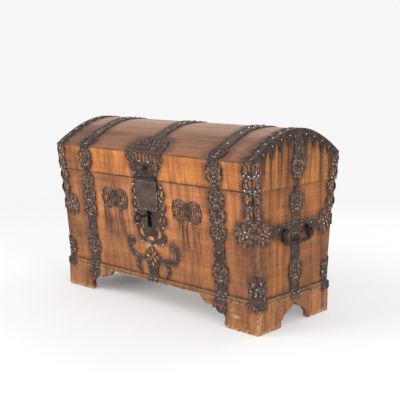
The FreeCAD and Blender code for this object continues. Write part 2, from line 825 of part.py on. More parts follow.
def make_corner_irons():
    depth_edge = body_half_depth(seam_height) + iron
    upper = corner_iron(body_front_skin, body_end_skin, half_width + iron, depth_edge,
                        corner_iron_bottom, top_of_body_iron)
    solid, holes = palmette_side(plinth_half_width + iron, 1)
    front = pierced(body_front_skin, on_front, solid, holes)
    solid, holes = palmette_side(-plinth_half_depth - iron, -1)
    end = pierced(body_end_skin, on_end, solid, holes)
    return {"upper_corner_irons": four_corners(upper), "corner_palmettes": four_corners(fuse([front, end]))}


# Iron fittings of the lid

def make_dome_bands():
    edge = spring_half_depth + iron * 2
    u = mid_band_place
    inner_edge = edge - band_ornament_length / 2
    solid = [plate_box(u - half_strap, u + half_strap, -edge, edge)]
    holes = []
    for side in (-1, 1):
        s, h = medallion(u, side * inner_edge, mid_band_width, band_ornament_length)
        solid += s
        holes += h
    diamond, diamond_holes = crest_diamond(u)
    solid += diamond
    holes += diamond_holes
    top = pierced(dome_skin, on_top, solid, holes)
    middle = spring_height - lid_rail_height / 2
    face, face_holes = medallion(u, middle, mid_band_width, medallion_height)
    tail = plate_box(u - half_strap / 2, u + half_strap / 2, bottom_of_lid_iron, middle)
    head = plate_box(u - half_strap, u + half_strap, middle + lid_rail_height / 4, spring_height + iron)
    front = pierced(rail_skin, on_front, face + [tail, head], face_holes)
    band = fuse([top, front])

    wide, narrow = ornament_top_width / 2, half_strap
    solid = [plate_box(-half_strap, half_strap, -edge, edge)]
    holes = []
    for side in (-1, 1):
        shoulder, neck = side * (edge - centre_taper_length * 2 / 3), side * (edge - centre_taper_length)
        solid.append(plate_polygon([(-wide, side * edge), (-wide * wing_share, shoulder), (-narrow, neck),
                                    (narrow, neck), (wide * wing_share, shoulder), (wide, side * edge)]))
        for place in (-2, -1, 0, 1, 2):
            holes.append(disc(place * wide / 3, side * (edge - centre_taper_length / 2), lobe_hole_radius))
    diamond, diamond_holes = crest_diamond(0)
    centre = pierced(dome_skin, on_top, solid + diamond, holes + diamond_holes)

    far = lid_outer_half_width
    solid = [plate_box(far - edge_band_width + edge_scallop_radius, far, -edge, edge)]
    holes = []
    for i in range(edge_scallop_count):
        y = edge * (2 * i + 1 - edge_scallop_count) / edge_scallop_count
        solid.append(disc(far - edge_band_width + edge_scallop_radius, y, edge_scallop_radius))
        holes.append(disc(far - edge_band_width + edge_scallop_radius, y, edge_scallop_radius / 2))
    rim = pierced(dome_skin, on_top, solid, holes)
    return {
        "dome_right_band": band, "dome_left_band": mirror_x(band), "dome_centre_band": centre,
        "dome_edge_bands": Part.makeCompound([rim, mirror_x(rim)]),
    }


def crest_diamond(u):
    """Pointed widening at the crest, with round ears at its middle and holes along it."""
    far = crest_diamond_half_length
    solid = [plate_polygon([(u - half_strap, -far), (u + half_strap, -far), (u + crest_diamond_half_width, 0),
                            (u + half_strap, far), (u - half_strap, far), (u - crest_diamond_half_width, 0)])]
    holes = []
    for step in (-1, 0, 1):
        y = step * far / 2
        holes.append(disc(u, y, lobe_hole_radius))
        for side in (-1, 1):
            reach = crest_diamond_half_width * (1 - abs(step) / 4) - lobe_hole_radius
            solid.append(disc(u + side * reach, y, lobe_hole_radius * 3 / 2))
            holes.append(disc(u + side * reach, y, lobe_hole_radius / 2))
    return solid, holes


def make_lid_corner_irons():
    depth_edge = rail_half_depth(spring_height) + iron
    iron_piece = corner_iron(rail_skin, lid_end_skin, lid_outer_half_width, depth_edge,
                             bottom_of_lid_iron, spring_height)
    return {"lid_corner_irons": four_corners(iron_piece)}


def make_lid_end_irons():
    u = end_strap_place
    face, holes = medallion(u, lid_end_medallion_z, end_medallion_width, lid_end_medallion_height)
    strap = plate_box(u - half_strap, u + half_strap, lid_end_medallion_z, crest_height - arch_edging_width)
    neck = plate_box(u - half_strap / 3, u + half_strap / 3, bottom_of_lid_iron, lid_end_medallion_z)
    plate = pierced(lid_end_skin, on_end, face + [strap, neck], holes)
    under_edging = dome_slice(-spring_angle, spring_angle, -overrun / 2, -arch_edging_width, 0, overrun)
    plate = plate.common(under_edging)

    ring_band = dome_slice(-spring_angle, spring_angle, -arch_edging_width, 0,
                           lid_half_width, lid_outer_half_width)
    inner_y = rail_half_depth(spring_height) + iron - corner_iron_width
    pendants = []
    for i in range(pendant_count):
        y = inner_y * (2 * i + 1 - pendant_count) / (pendant_count - 1 / 4)
        if abs(y - end_strap_place) < half_strap + pendant_width / 2:
            continue
        top = dome_height(y, -arch_edging_width / 2)
        low = top - arch_edging_width / 2 - pendant_length
        left, right, waist = y - pendant_width / 2, y + pendant_width / 2, low + pendant_length / 2
        pendants.append(plate_polygon([(left, top), (left, waist), (y, low), (right, waist), (right, top)]))
    tongues = pierced(lid_end_skin, on_end, pendants)
    tongues = tongues.common(dome_slice(-spring_angle, spring_angle, -overrun / 2, 0, 0, overrun))
    above_corner = box(0, overrun, -overrun, overrun, spring_height, spring_height + overrun)
    edging = ring_band.fuse(tongues).common(above_corner).removeSplitter()
    return {
        "lid_end_straps": Part.makeCompound([plate, mirror_x(plate)]),
        "right_arch_edging": edging,
        "left_arch_edging": mirror_x(edging),
    }


# Hasp and its hinge, in the frame that leans with the front: outward is n

hasp_axis_up = slope(seam_height) + hasp_rise
rail_face_out = lid_overhang * lean_cos
hasp_back = rail_face_out + hasp_gap
hasp_axis_out = hasp_back + hasp_barrel_radius


def cylinder_x(x0, x1, up, out, radius):
    return Part.makeCylinder(radius, x1 - x0, V(x0, up, out), V(1, 0, 0))


def hasp_knuckle_spans():
    """Spans along X of the five knuckles; the lid's are the first, third and fifth."""
    pitch = hasp_knuckle_length + knuckle_gap
    first = -pitch * 5 / 2 + knuckle_gap / 2
    return [(first + i * pitch, first + i * pitch + hasp_knuckle_length) for i in range(5)]


def make_hasp():
    up, out = hasp_axis_up, hasp_axis_out
    half = hasp_width / 2
    bore = cylinder_x(-overrun, overrun, up, out, hasp_pin_radius + pin_clearance)
    top = up - hasp_barrel_radius - hasp_gap
    low = up - hasp_drop
    plate = box(-half, half, low, top, hasp_back, hasp_back + hasp_thickness)
    lower_edges = [e for e in plate.Edges
                   if abs(e.BoundBox.YMax - low) < seam_gap and e.BoundBox.ZLength > hasp_thickness / 2]
    plate = plate.makeFillet(corner_round, lower_edges)
    moving, fixed = [plate], []
    for i, (x0, x1) in enumerate(hasp_knuckle_spans()):
        barrel = cylinder_x(x0, x1, up, out, hasp_barrel_radius)
        if i % 2:
            moving += [barrel, box(x0, x1, top, up, hasp_back, hasp_back + hasp_thickness)]
        else:
            tongue_top = up + hasp_barrel_radius + ornament_clear / 2
            fixed += [barrel, box(x0, x1, up, tongue_top, rail_face_out, rail_face_out + iron),
                      box(x0, x1, up, up + hasp_barrel_radius, rail_face_out, out)]
    pin = cylinder_x(hasp_knuckle_spans()[0][0], hasp_knuckle_spans()[4][1], up, out, hasp_pin_radius)
    return lean_frame(fuse(moving).cut(bore)), lean_frame(fuse(fixed).cut(bore)), lean_frame(pin)


def make_lid_ornament():
    hasp, knuckles, pin = make_hasp()
    low = key_height + (hasp_axis_up + hasp_barrel_radius + hasp_gap) * lean_cos
    wide, narrow = ornament_top_width / 2, ornament_low_width / 2
    lobe = wide / 4
    side_in, waist = wide - lobe / 2, spring_height - lid_rail_height / 2
    solid = [plate_polygon([(-side_in, spring_height), (-side_in, waist), (-narrow, low + lobe / 2),
                            (-hasp_width / 2, low), (hasp_width / 2, low), (narrow, low + lobe / 2),
                            (side_in, waist), (side_in, spring_height)])]
    holes = []
    for side in (-1, 1):
        for step in (0, 1, 2):
            across, up = side * (narrow + (wide - lobe - narrow) * step / 2), low + lobe + step * lobe
            solid.append(disc(across, up, lobe))
            holes.append(disc(across, up, lobe_hole_radius))
            across = side * wide * (step + 1) / 5
            holes.append(disc(across, spring_height - lobe * 2 / 3, lobe_hole_radius * 3 / 4))
    plate = pierced(rail_skin, on_front, solid, holes)
    plate = plate.common(box(-overrun, overrun, -overrun, 0, low, spring_height))
    knob_up = slope(knob_height)
    face = rail_face_out + iron
    neck = Part.makeCylinder(knob_neck_radius, knob_neck_length, V(0, knob_up, face))
    ball = Part.makeSphere(knob_radius, V(0, knob_up, face + knob_neck_length))
    behind_face = box(-knob_radius, knob_radius, knob_up - knob_radius, knob_up + knob_radius,
                      face - knob_radius * 2, face)
    knob = fuse([neck, ball.cut(behind_face)])
    return {"hasp_plate": hasp, "hasp_pin": pin, "lid_ornament": fuse([plate, knuckles]),
            "lid_knob": lean_frame(knob)}


# Key, lock case, bolt and the catch on the lid, in the leaning frame

inner_face = -board * lean_cos
case_back = inner_face - case_depth
bolt_front = inner_face - bolt_setback
bolt_back = bolt_front - bolt_thickness
bolt_up = slope(seam_height) - case_slot_margin * 2 - bolt_height * 3


def make_lock():
    inside_front, inside_back = inner_face - case_wall, case_back + case_wall
    case = box(-case_half_width, case_half_width, -case_bottom, case_top, case_back, inner_face)
    hollow_half_width = case_half_width - case_wall
    hollow = box(-hollow_half_width, hollow_half_width, case_wall - case_bottom, case_top - case_wall,
                 inside_back, inside_front)
    arm_left = -case_half_width + case_wall + bolt_setback
    guide_left, guide_right = arm_left, arm_left + bolt_arm_width + bolt_travel
    guide = box(guide_left, guide_right, key_bit_radius * 2, bolt_up, inside_back, bolt_back - guide_gap)
    slot_low = catch_offset - case_slot_margin
    slot_high = catch_offset + catch_thickness + case_slot_margin
    slot = box(slot_low, slot_high, case_top - case_wall * 2, case_top + case_wall,
               bolt_back - catch_rim - case_slot_margin, bolt_front + catch_rim + case_slot_margin)
    keyway = fuse([Part.makeCylinder(key_shank_radius + key_clearance, case_depth, V(0, 0, inside_back)),
                   box(-keyhole_slot_width / 2, keyhole_slot_width / 2, -key_bit_radius - catch_clearance, 0,
                       inside_front, inner_face)])
    case = fuse([case.cut(hollow), guide]).cut(Part.makeCompound([slot, keyway]))

    tip = catch_offset - bolt_tip_gap
    arm_bottom = key_bit_radius + bolt_gap
    bolt_top = bolt_up + bolt_height
    bolt = fuse([box(arm_left, arm_left + bolt_arm_width, arm_bottom, bolt_top, bolt_back, bolt_front),
                 box(arm_left, tip, bolt_up, bolt_top, bolt_back, bolt_front)])

    eye_low = bolt_up - catch_clearance - catch_rim
    rail_inner = rail_face_out - board * lean_cos
    seam_up = slope(seam_height)
    tongue_out = bolt_front + catch_clearance + catch_rim
    tongue_back = bolt_back - catch_clearance - catch_rim
    catch_right = catch_offset + catch_thickness
    catch_low, catch_top = seam_up + case_slot_margin, seam_up + catch_plate_height
    tongue = box(catch_offset, catch_right, eye_low, catch_top, tongue_back, tongue_out)
    bridge = box(catch_offset, catch_right, catch_low, catch_top, tongue_out, rail_inner)
    pad_left = catch_offset + catch_thickness / 2 - catch_plate_width / 2
    pad = box(pad_left, pad_left + catch_plate_width, catch_low, catch_top, rail_inner - iron, rail_inner)
    eye = box(catch_offset - catch_thickness, catch_right + catch_thickness, bolt_up - catch_clearance,
              bolt_top + catch_clearance, bolt_back - catch_clearance, bolt_front + catch_clearance)
    catch = fuse([tongue, bridge, pad]).cut(eye)

    bow_out = key_reach - key_bow_radius - key_wire_radius
    shank = Part.makeCylinder(key_shank_radius, bow_out - key_bow_radius - inside_back, V(0, 0, inside_back))
    bow = Part.makeTorus(key_bow_radius, key_wire_radius, V(0, 0, bow_out), V(1, 0, 0))
    collar_back = hasp_back + hasp_thickness + key_collar_gap
    collar = Part.makeCylinder(key_collar_radius, key_collar_length, V(0, 0, collar_back))
    bit_back = (bolt_front + bolt_back - key_bit_width) / 2
    bit = box(-key_bit_thickness / 2, key_bit_thickness / 2, -key_bit_radius, 0,
              bit_back, bit_back + key_bit_width)
    key = fuse([shank, bow, collar, bit])
    return {"lock_case": lean_frame(case), "lock_bolt": lean_frame(bolt), "lid_catch": lean_frame(catch),
            "key": lean_frame(key)}


# Back hinges: the body's knuckles stand between the lid's on one pin

hinge_axis_y = lid_half_depth + hinge_barrel_radius + hinge_gap


def world_cylinder_x(x0, x1, y, z, radius):
    return Part.makeCylinder(radius, x1 - x0, V(x0, y, z), V(1, 0, 0))


def make_hinges():
    u = mid_band_place
    y, z = hinge_axis_y, seam_height
    radius = hinge_barrel_radius
    pitch = hinge_knuckle_length + knuckle_gap
    first = u - pitch * hinge_knuckles / 2 + knuckle_gap / 2
    bore = world_cylinder_x(0, overrun, y, z, hinge_pin_radius + pin_clearance)
    clear = radius + hinge_gap
    body_skin = mirror_y(body_front_skin)
    back_rail_skin = mirror_y(rail_skin)
    run, holes = medallion(u, seam_height - medallion_height, mid_band_width, medallion_height)
    shaft = plate_box(u - half_strap, u + half_strap, seam_height - hinge_leaf_drop, top_of_body_iron - clear)
    low, low_holes = medallion(u, seam_height - hinge_leaf_drop, mid_band_width, medallion_height)
    body_parts = [pierced(body_skin, on_front, run + low + [shaft], holes + low_holes)]
    face, face_holes = medallion(u, (seam_height + spring_height) / 2, mid_band_width, medallion_height)
    head = plate_box(u - half_strap, u + half_strap, seam_height + clear + hinge_gap, spring_height)
    lid_leaf = pierced(back_rail_skin, on_front, face + [head], face_holes)
    lid_leaf = lid_leaf.common(box(0, overrun, 0, overrun, seam_height + clear + hinge_gap, spring_height))
    lid_parts = [lid_leaf]
    body_face = body_half_depth(seam_height - radius)
    for i in range(hinge_knuckles):
        x0 = first + i * pitch
        x1 = x0 + hinge_knuckle_length
        barrel = world_cylinder_x(x0, x1, y, z, radius)
        if i % 2:
            web = box(x0, x1, lid_half_depth, y - hinge_gap, z, z + clear + web_thickness)
            lid_parts += [barrel, web.cut(rail_solid())]
        else:
            strap_top = box(x0, x1, 0, body_face + iron, z - radius * 2, z - seam_gap)
            web = box(x0, x1, 0, y, z - radius, z - seam_gap)
            body_parts += [barrel, web.cut(body_solid()), strap_top.cut(body_solid())]
    body_leaf = fuse(body_parts).cut(bore)
    lid_leaf = fuse(lid_parts).cut(bore)
    pin = world_cylinder_x(first, first + pitch * hinge_knuckles - knuckle_gap, y, z, hinge_pin_radius)
    return {
        "hinge_body_straps": Part.makeCompound([body_leaf, mirror_x(body_leaf)]),
        "hinge_lid_leaves": Part.makeCompound([lid_leaf, mirror_x(lid_leaf)]),
        "hinge_pins": Part.makeCompound([pin, mirror_x(pin)]),
    }


def body_solid():
    return prism_x(front_outline[:2] + [(-y, z) for y, z in front_outline[1::-1]], -overrun, overrun)


def rail_solid():
    return prism_x([(0, seam_height), (lid_half_depth, seam_height), (spring_half_depth, spring_height),
                    (0, spring_height)], -overrun, overrun)


# Drop handles on the ends

def make_handles():
    x = half_width + iron + handle_standoff
    z = handle_height
    span = handle_half_span
    low = z - handle_drop
    wide = span + handle_bulge
    half_path = [V(x, span, z), V(x, wide, z - handle_drop / 4), V(x, wide, z - handle_drop / 2),
                 V(x, span - handle_bulge, low)]
    path = [V(p.x, -p.y, p.z) for p in half_path] + half_path[::-1]
    parts = []
    for a, b in zip(path, path[1:]):
        parts += [Part.makeCylinder(handle_wire, (b - a).Length, a, b - a), Part.makeSphere(handle_wire, a)]
    parts.append(Part.makeSphere(handle_wire, path[-1]))
    for place in (-1, 0, 1):
        parts.append(Part.makeSphere(handle_bead_radius, V(x, place * span / 2, low)))
    eyes = []
    for side in (-1, 1):
        middle = side * (span - eye_half_width * 2)
        stub_end = middle - side * eye_half_width
        stub_length = abs(side * span - stub_end)
        stub_start = V(x, min(stub_end, side * span), z)
        parts.append(Part.makeCylinder(handle_stub_radius, stub_length, stub_start, V(0, 1, 0)))
        y0, y1 = middle - eye_half_width, middle + eye_half_width
        post = box(half_width + iron, x, y0, y1, z - eye_radius, z + eye_radius)
        barrel = Part.makeCylinder(eye_radius, y1 - y0, V(x, y0, z), V(0, 1, 0))
        bore_radius = handle_stub_radius + eye_clearance
        bore = Part.makeCylinder(bore_radius, overrun, V(x, -overrun / 2, z), V(0, 1, 0))
        eyes.append(fuse([post, barrel]).cut(bore))
    bail = fuse(parts)
    return {
        "right_handle": bail, "left_handle": mirror_x(bail),
        "handle_eyes": Part.makeCompound(eyes + [mirror_x(eye) for eye in eyes]),
    }


# Nail heads: half rounds standing on the iron

def nail(point, normal):
    return Part.makeSphere(nail_radius, point, normal, 0, 90, 360)


def front_nail(x, z, half_depth_at):
    outward = V(0, -lean_cos, -lean_share * lean_cos)
    point = V(x, -half_depth_at(z), z) + outward * iron
    return nail(point, outward)


def make_nails():
    body, lid = [], []
    u = mid_band_place
    quarter = strap_width / 4
    shaft_middle = (lobe_run_z - lobe_run_pitch + lower_medallion_z) / 2
    for z in (lobe_run_z, lobe_run_z - lobe_run_pitch, lobe_run_z + lobe_run_pitch, lower_medallion_z,
              shaft_middle):
        for shift in (-quarter, quarter):
            body += [front_nail(side * (u + shift), z - quarter, body_half_depth) for side in (-1, 1)]
    inset = corner_iron_width / 2
    palmette_middle = (palmette_top + palmette_bottom) / 2
    for z in (corner_iron_bottom + inset / 2, cross_height, top_of_body_iron - inset / 2, palmette_middle):
        front = front_nail(half_width - inset / 2, z, body_half_depth)
        end = nail(V(half_width + iron, -body_half_depth(z) + inset / 2, z), V(1, 0, 0))
        for head in (front, end, mirror_y(front), mirror_y(end)):
            body += [head, mirror_x(head)]
    for z in (end_upper_medallion_z - quarter, end_lower_medallion_z - quarter, cross_height + cross_width):
        for shift in (-quarter, quarter):
            end = nail(V(half_width + iron, end_strap_place + shift, z), V(1, 0, 0))
            body += [end, mirror_x(end)]
    for side in (-1, 1):
        for z in (key_height + keyhole_drop, escutcheon_top - inset, escutcheon_bottom + inset * 2):
            body.append(front_nail(side * (escutcheon_width / 2 - inset / 2), z, body_half_depth))
        for z in (diamond_bottom - quarter, diamond_height - quarter):
            body.append(front_nail(side * quarter, z, body_half_depth))
    middle = (seam_height + spring_height) / 2
    for side in (-1, 1):
        lid.append(front_nail(side * (lid_half_width - inset / 2), middle, rail_half_depth))
        for shift in (-quarter, quarter):
            lid.append(front_nail(side * u + shift, middle - quarter, rail_half_depth))
            lid.append(front_nail(side * ornament_low_width / 3 + shift, middle, rail_half_depth))
    for place in (-u, 0, u, -lid_half_width + inset, lid_half_width - inset):
        for share in band_nail_shares:
            angle = share * spring_angle
            y, z = dome_point(angle, iron)
            sine, cosine = math.sin(math.radians(angle)), math.cos(math.radians(angle))
            lid.append(nail(V(place, y, z), V(0, sine, cosine)))
    return {"body_nails": Part.makeCompound(body), "lid_nails": Part.makeCompound(lid)}


def make_all():
    nodes = {}
    for maker in (make_body_boards, make_mouldings, make_brackets, make_end_plinths, make_foot_blocks,
                  make_lid_boards, make_mid_bands, make_base_ornament, make_cartouches, make_escutcheon,
                  make_end_straps, make_cross_straps, make_corner_irons, make_dome_bands,
                  make_lid_corner_irons, make_lid_end_irons, make_lid_ornament, make_lock, make_hinges,
                  make_handles, make_nails):
        nodes.update(maker())
    return nodes


def footprint_shift(nodes):
    """The origin is the middle of the part's footprint, so the key's reach shifts the chest back."""
    whole = Part.makeCompound(list(nodes.values())).optimalBoundingBox(False, False)
    print("size", whole.XLength, whole.YLength, whole.ZLength, "nodes", len(nodes))
    return V(-(whole.XMin + whole.XMax) / 2, -(whole.YMin + whole.YMax) / 2, -whole.ZMin)


chest_nodes = make_all()
shift = footprint_shift(chest_nodes)
os.makedirs("parts", exist_ok=True)
for name, shape in chest_nodes.items():
    shape.translated(shift).exportStep(f"parts/{name}.step")
    print(name, len(shape.Solids), round(shape.Volume))
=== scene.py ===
import bmesh
import bpy
import math
import random
from mathutils import Matrix, Vector, noise
from mathutils.kdtree import KDTree


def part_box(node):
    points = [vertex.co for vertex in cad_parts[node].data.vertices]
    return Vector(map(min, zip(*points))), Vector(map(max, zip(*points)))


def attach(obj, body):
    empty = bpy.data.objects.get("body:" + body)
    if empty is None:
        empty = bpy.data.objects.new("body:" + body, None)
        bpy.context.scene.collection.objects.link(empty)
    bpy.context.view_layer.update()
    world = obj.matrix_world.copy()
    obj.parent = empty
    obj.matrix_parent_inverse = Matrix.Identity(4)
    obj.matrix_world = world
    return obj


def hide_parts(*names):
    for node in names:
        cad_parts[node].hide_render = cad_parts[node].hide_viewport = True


# Dome-lid chest: worn wooden boards under pierced, nailed ironwork. Metres, +Z up, front towards -Y.

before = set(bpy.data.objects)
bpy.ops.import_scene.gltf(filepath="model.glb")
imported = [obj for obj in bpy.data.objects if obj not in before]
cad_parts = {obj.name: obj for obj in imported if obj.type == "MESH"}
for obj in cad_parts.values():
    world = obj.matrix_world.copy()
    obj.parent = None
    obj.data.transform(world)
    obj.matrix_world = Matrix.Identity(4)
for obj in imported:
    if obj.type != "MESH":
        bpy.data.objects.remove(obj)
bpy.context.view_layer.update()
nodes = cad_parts
mm = 0.001
print("frame loaded with", len(nodes), "CAD nodes")

# Where the wood's faces lie, read from the frame

frontBox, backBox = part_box("front_board"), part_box("back_board")
mouldingBox, railBox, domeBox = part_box("front_moulding"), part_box("lid_front_rail"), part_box("dome_board_3")
chest = {
    "middleY": (frontBox[0].y + backBox[1].y) / 2,
    "halfWidth": frontBox[1].x,
    "halfDepth": (backBox[1].y - frontBox[0].y) / 2,
    "seam": frontBox[1].z,
    "baseTop": frontBox[0].z,
    "mouldingTop": mouldingBox[1].z,
    "chamfer": 7 * mm,
    "plinthHalfWidth": mouldingBox[1].x,
    "plinthHalfDepth": (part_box("back_moulding")[1].y - mouldingBox[0].y) / 2,
    "lidHalfWidth": railBox[1].x,
    "lidHalfDepth": (backBox[1].y - frontBox[0].y) / 2 + 5 * mm,
    "spring": railBox[1].z,
    "crest": domeBox[1].z,
    "lean": 0.102,
}
chest["springHalfDepth"] = chest["lidHalfDepth"] + chest["lean"] * (chest["spring"] - chest["seam"])
dome = {"crestRadius": 0.380, "flankRadius": 0.744, "crestHalfAngle": math.radians(20), "thickness": 22 * mm}
dome["crestArc"] = dome["crestRadius"] * dome["crestHalfAngle"]
dome["centre"] = chest["crest"] - dome["crestRadius"]
dome["springAngle"] = math.asin(math.sin(dome["crestHalfAngle"]) + (
    chest["springHalfDepth"] - dome["crestRadius"] * math.sin(dome["crestHalfAngle"])) / dome["flankRadius"])
dome["springArc"] = dome["crestArc"] + (dome["springAngle"] - dome["crestHalfAngle"]) * dome["flankRadius"]


def frontDepth(z):
    if z > chest["seam"]:
        return chest["lidHalfDepth"] + chest["lean"] * (z - chest["seam"])
    face = chest["halfDepth"] - chest["lean"] * (chest["seam"] - z)
    return overMoulding(z, face, chest["plinthHalfDepth"])


def endDepth(z):
    if z > chest["seam"]:
        return chest["lidHalfWidth"]
    return overMoulding(z, chest["halfWidth"], chest["plinthHalfWidth"])


def overMoulding(z, face, plinth):
    share = (chest["mouldingTop"] + 1.5 * mm - z) / (chest["chamfer"] + 1.5 * mm)
    return face + (plinth - face) * min(1, max(0, share))


# Maps from a flat drawing (across, up, outward) to the chest's faces

def frontMap(u, v, h):
    tilt = chest["lean"] if v > chest["mouldingTop"] else 0
    reach = h / math.hypot(1, tilt)
    return Vector((u, chest["middleY"] - frontDepth(v) - reach, v - reach * tilt))


def backMap(u, v, h):
    p = frontMap(u, v, h)
    return Vector((p.x, 2 * chest["middleY"] - p.y, p.z))


def rightMap(u, v, h):
    return Vector((endDepth(v) + h, chest["middleY"] + u, v))


def leftMap(u, v, h):
    return Vector((-endDepth(v) - h, chest["middleY"] + u, v))


def domeMap(u, s, h):
    # s is the length along the arch from the crest, minus towards the front
    side, reach = (-1 if s < 0 else 1), abs(s)
    if reach <= dome["crestArc"]:
        angle = reach / dome["crestRadius"]
        out = (dome["crestRadius"] + h) * math.sin(angle)
        up = (dome["crestRadius"] + h) * math.cos(angle)
    else:
        angle = dome["crestHalfAngle"] + (reach - dome["crestArc"]) / dome["flankRadius"]
        shift = dome["crestRadius"] - dome["flankRadius"]
        out = shift * math.sin(dome["crestHalfAngle"]) + (dome["flankRadius"] + h) * math.sin(angle)
        up = shift * math.cos(dome["crestHalfAngle"]) + (dome["flankRadius"] + h) * math.cos(angle)
    return Vector((u, chest["middleY"] + side * out, dome["centre"] + up))


def domeHeight(y):
    # height of the dome over a distance from its middle
    y = abs(y)
    if y <= dome["crestRadius"] * math.sin(dome["crestHalfAngle"]):
        return dome["centre"] + math.sqrt(dome["crestRadius"] ** 2 - y ** 2)
    shift = dome["crestRadius"] - dome["flankRadius"]
    reach = y - shift * math.sin(dome["crestHalfAngle"])
    return (dome["centre"] + shift * math.cos(dome["crestHalfAngle"])
            + math.sqrt(dome["flankRadius"] ** 2 - reach ** 2))


# Camera, at the photograph's place

cameraPlace = {"place": (2.607, -2.7364, 1.1175), "turn": 0.7448, "pitch": 0.1666, "focal": 71.5,
               "sensor": 36.0}


def makeCamera():
    data = bpy.data.cameras.new("photoCamera")
    data.lens, data.sensor_width = cameraPlace["focal"], cameraPlace["sensor"]
    camera = bpy.data.objects.new("photoCamera", data)
    bpy.context.scene.collection.objects.link(camera)
    turn, pitch = cameraPlace["turn"], cameraPlace["pitch"]
    look = Vector((-math.sin(turn) * math.cos(pitch), math.cos(turn) * math.cos(pitch), -math.sin(pitch)))
    camera.location = cameraPlace["place"]
    camera.rotation_euler = look.to_track_quat("-Z", "Y").to_euler()
    bpy.context.scene.camera = camera


makeCamera()
print("camera set")


# Small helpers for materials

def newMaterial(name):
    material = bpy.data.materials.new(name)
    material.use_nodes = True
    tree = material.node_tree
    shader = tree.nodes["Principled BSDF"]
    return material, tree, shader


def addNode(tree, kind, inputs=None, **settings):
    node = tree.nodes.new("ShaderNode" + kind)
    for key, value in settings.items():
        setattr(node, key, value)
    for key, value in (inputs or {}).items():
        if isinstance(value, bpy.types.NodeSocket):
            tree.links.new(value, node.inputs[key])
        else:
            node.inputs[key].default_value = value
    return node


def noiseOf(tree, coords, scale, detail=4.0, roughness=0.55, distortion=0.0):
    return addNode(tree, "TexNoise", {"Vector": coords, "Scale": scale, "Detail": detail,
                                      "Roughness": roughness, "Distortion": distortion}).outputs["Fac"]


def rampOf(tree, value, low, high, first=0.0, last=1.0):
    return addNode(tree, "MapRange", {"Value": value, "From Min": low, "From Max": high,
                                      "To Min": first, "To Max": last}).outputs["Result"]


def mathOf(tree, operation, a, b=0.0):
    return addNode(tree, "Math", {0: a, 1: b}, operation=operation).outputs[0]


def mixOf(tree, share, a, b, blend="MIX"):
    node = addNode(tree, "Mix", {}, data_type="RGBA", blend_type=blend)
    for index, value in ((0, share), (6, a), (7, b)):
        if isinstance(value, bpy.types.NodeSocket):
            tree.links.new(value, node.inputs[index])
        else:
            node.inputs[index].default_value = value
    return node.outputs[2]


def stretched(tree, coords, scale, turn=(0, 0, 0), place=(0, 0, 0)):
    return addNode(tree, "Mapping", {"Vector": coords, "Scale": scale, "Rotation": turn,
                                     "Location": place}).outputs["Vector"]


# Wood: the colour is built from grain, pores, upright stains, dirt round the iron and worn edges, with dark
# joints that are partly painted shadow, painted shade on the feet's inner sides and a painted sheen at the
# dome's crest

woodLook = {
    "front": {"pale": (0.70, 0.275, 0.082), "mid": (0.41, 0.146, 0.052), "dark": (0.15, 0.056, 0.028),
              "alongX": True, "figure": 0.46, "streak": 0.85, "rough": 0.55},
    "rail": {"pale": (0.76, 0.286, 0.060), "mid": (0.45, 0.146, 0.037), "dark": (0.18, 0.060, 0.023),
             "alongX": True, "figure": 0.55, "streak": 0.95, "rough": 0.50},
    "dome": {"pale": (0.29, 0.127, 0.062), "mid": (0.175, 0.074, 0.038), "dark": (0.080, 0.036, 0.022),
             "alongX": True, "figure": 0.10, "streak": 0.20, "rough": 0.50, "crestBleachAndSheen": 0.40, "amber": 0.6},
    "end": {"pale": (0.52, 0.194, 0.050), "mid": (0.26, 0.090, 0.029), "dark": (0.080, 0.030, 0.016),
            "alongX": False, "figure": 0.56, "streak": 1.1, "rough": 0.58},
    "lidEnd": {"pale": (0.70, 0.262, 0.047), "mid": (0.33, 0.110, 0.028), "dark": (0.10, 0.035, 0.016),
               "alongX": False, "figure": 0.60, "streak": 1.1, "rough": 0.58},
    "base": {"pale": (0.54, 0.225, 0.076), "mid": (0.28, 0.105, 0.042), "dark": (0.10, 0.038, 0.021),
             "alongX": True, "figure": 0.58, "streak": 1.2, "rough": 0.58},
    "inner": {"pale": (0.46, 0.27, 0.14), "mid": (0.33, 0.185, 0.095), "dark": (0.16, 0.085, 0.045),
              "alongX": True, "figure": 0.10, "streak": 0.15, "rough": 0.7},
    "opening": {"pale": (0.66, 0.235, 0.066), "mid": (0.37, 0.118, 0.040), "dark": (0.10, 0.034, 0.018),
                "alongX": True, "figure": 0.45, "streak": 0.45, "rough": 0.55},
    "freshOpening": {"pale": (0.95, 0.46, 0.15), "mid": (0.72, 0.27, 0.07), "dark": (0.26, 0.085, 0.03),
                     "alongX": True, "figure": 0.45, "streak": 0.30, "rough": 0.55},
    "darkOpening": {"pale": (0.19, 0.068, 0.030), "mid": (0.10, 0.038, 0.021), "dark": (0.045, 0.020, 0.014),
                    "alongX": True, "figure": 0.45, "streak": 0.45, "rough": 0.55},
}
woodMarks = {"dirtAndShade": (0.045, 0.022, 0.015), "bare": (0.60, 0.40, 0.21), "run": (0.075, 0.033, 0.021),
             "bleachAndSheenColour": (0.52, 0.36, 0.27), "amber": (0.38, 0.145, 0.055)}


def withAlpha(look):
    return {key: (*value, 1) if isinstance(value, tuple) else value for key, value in look.items()}


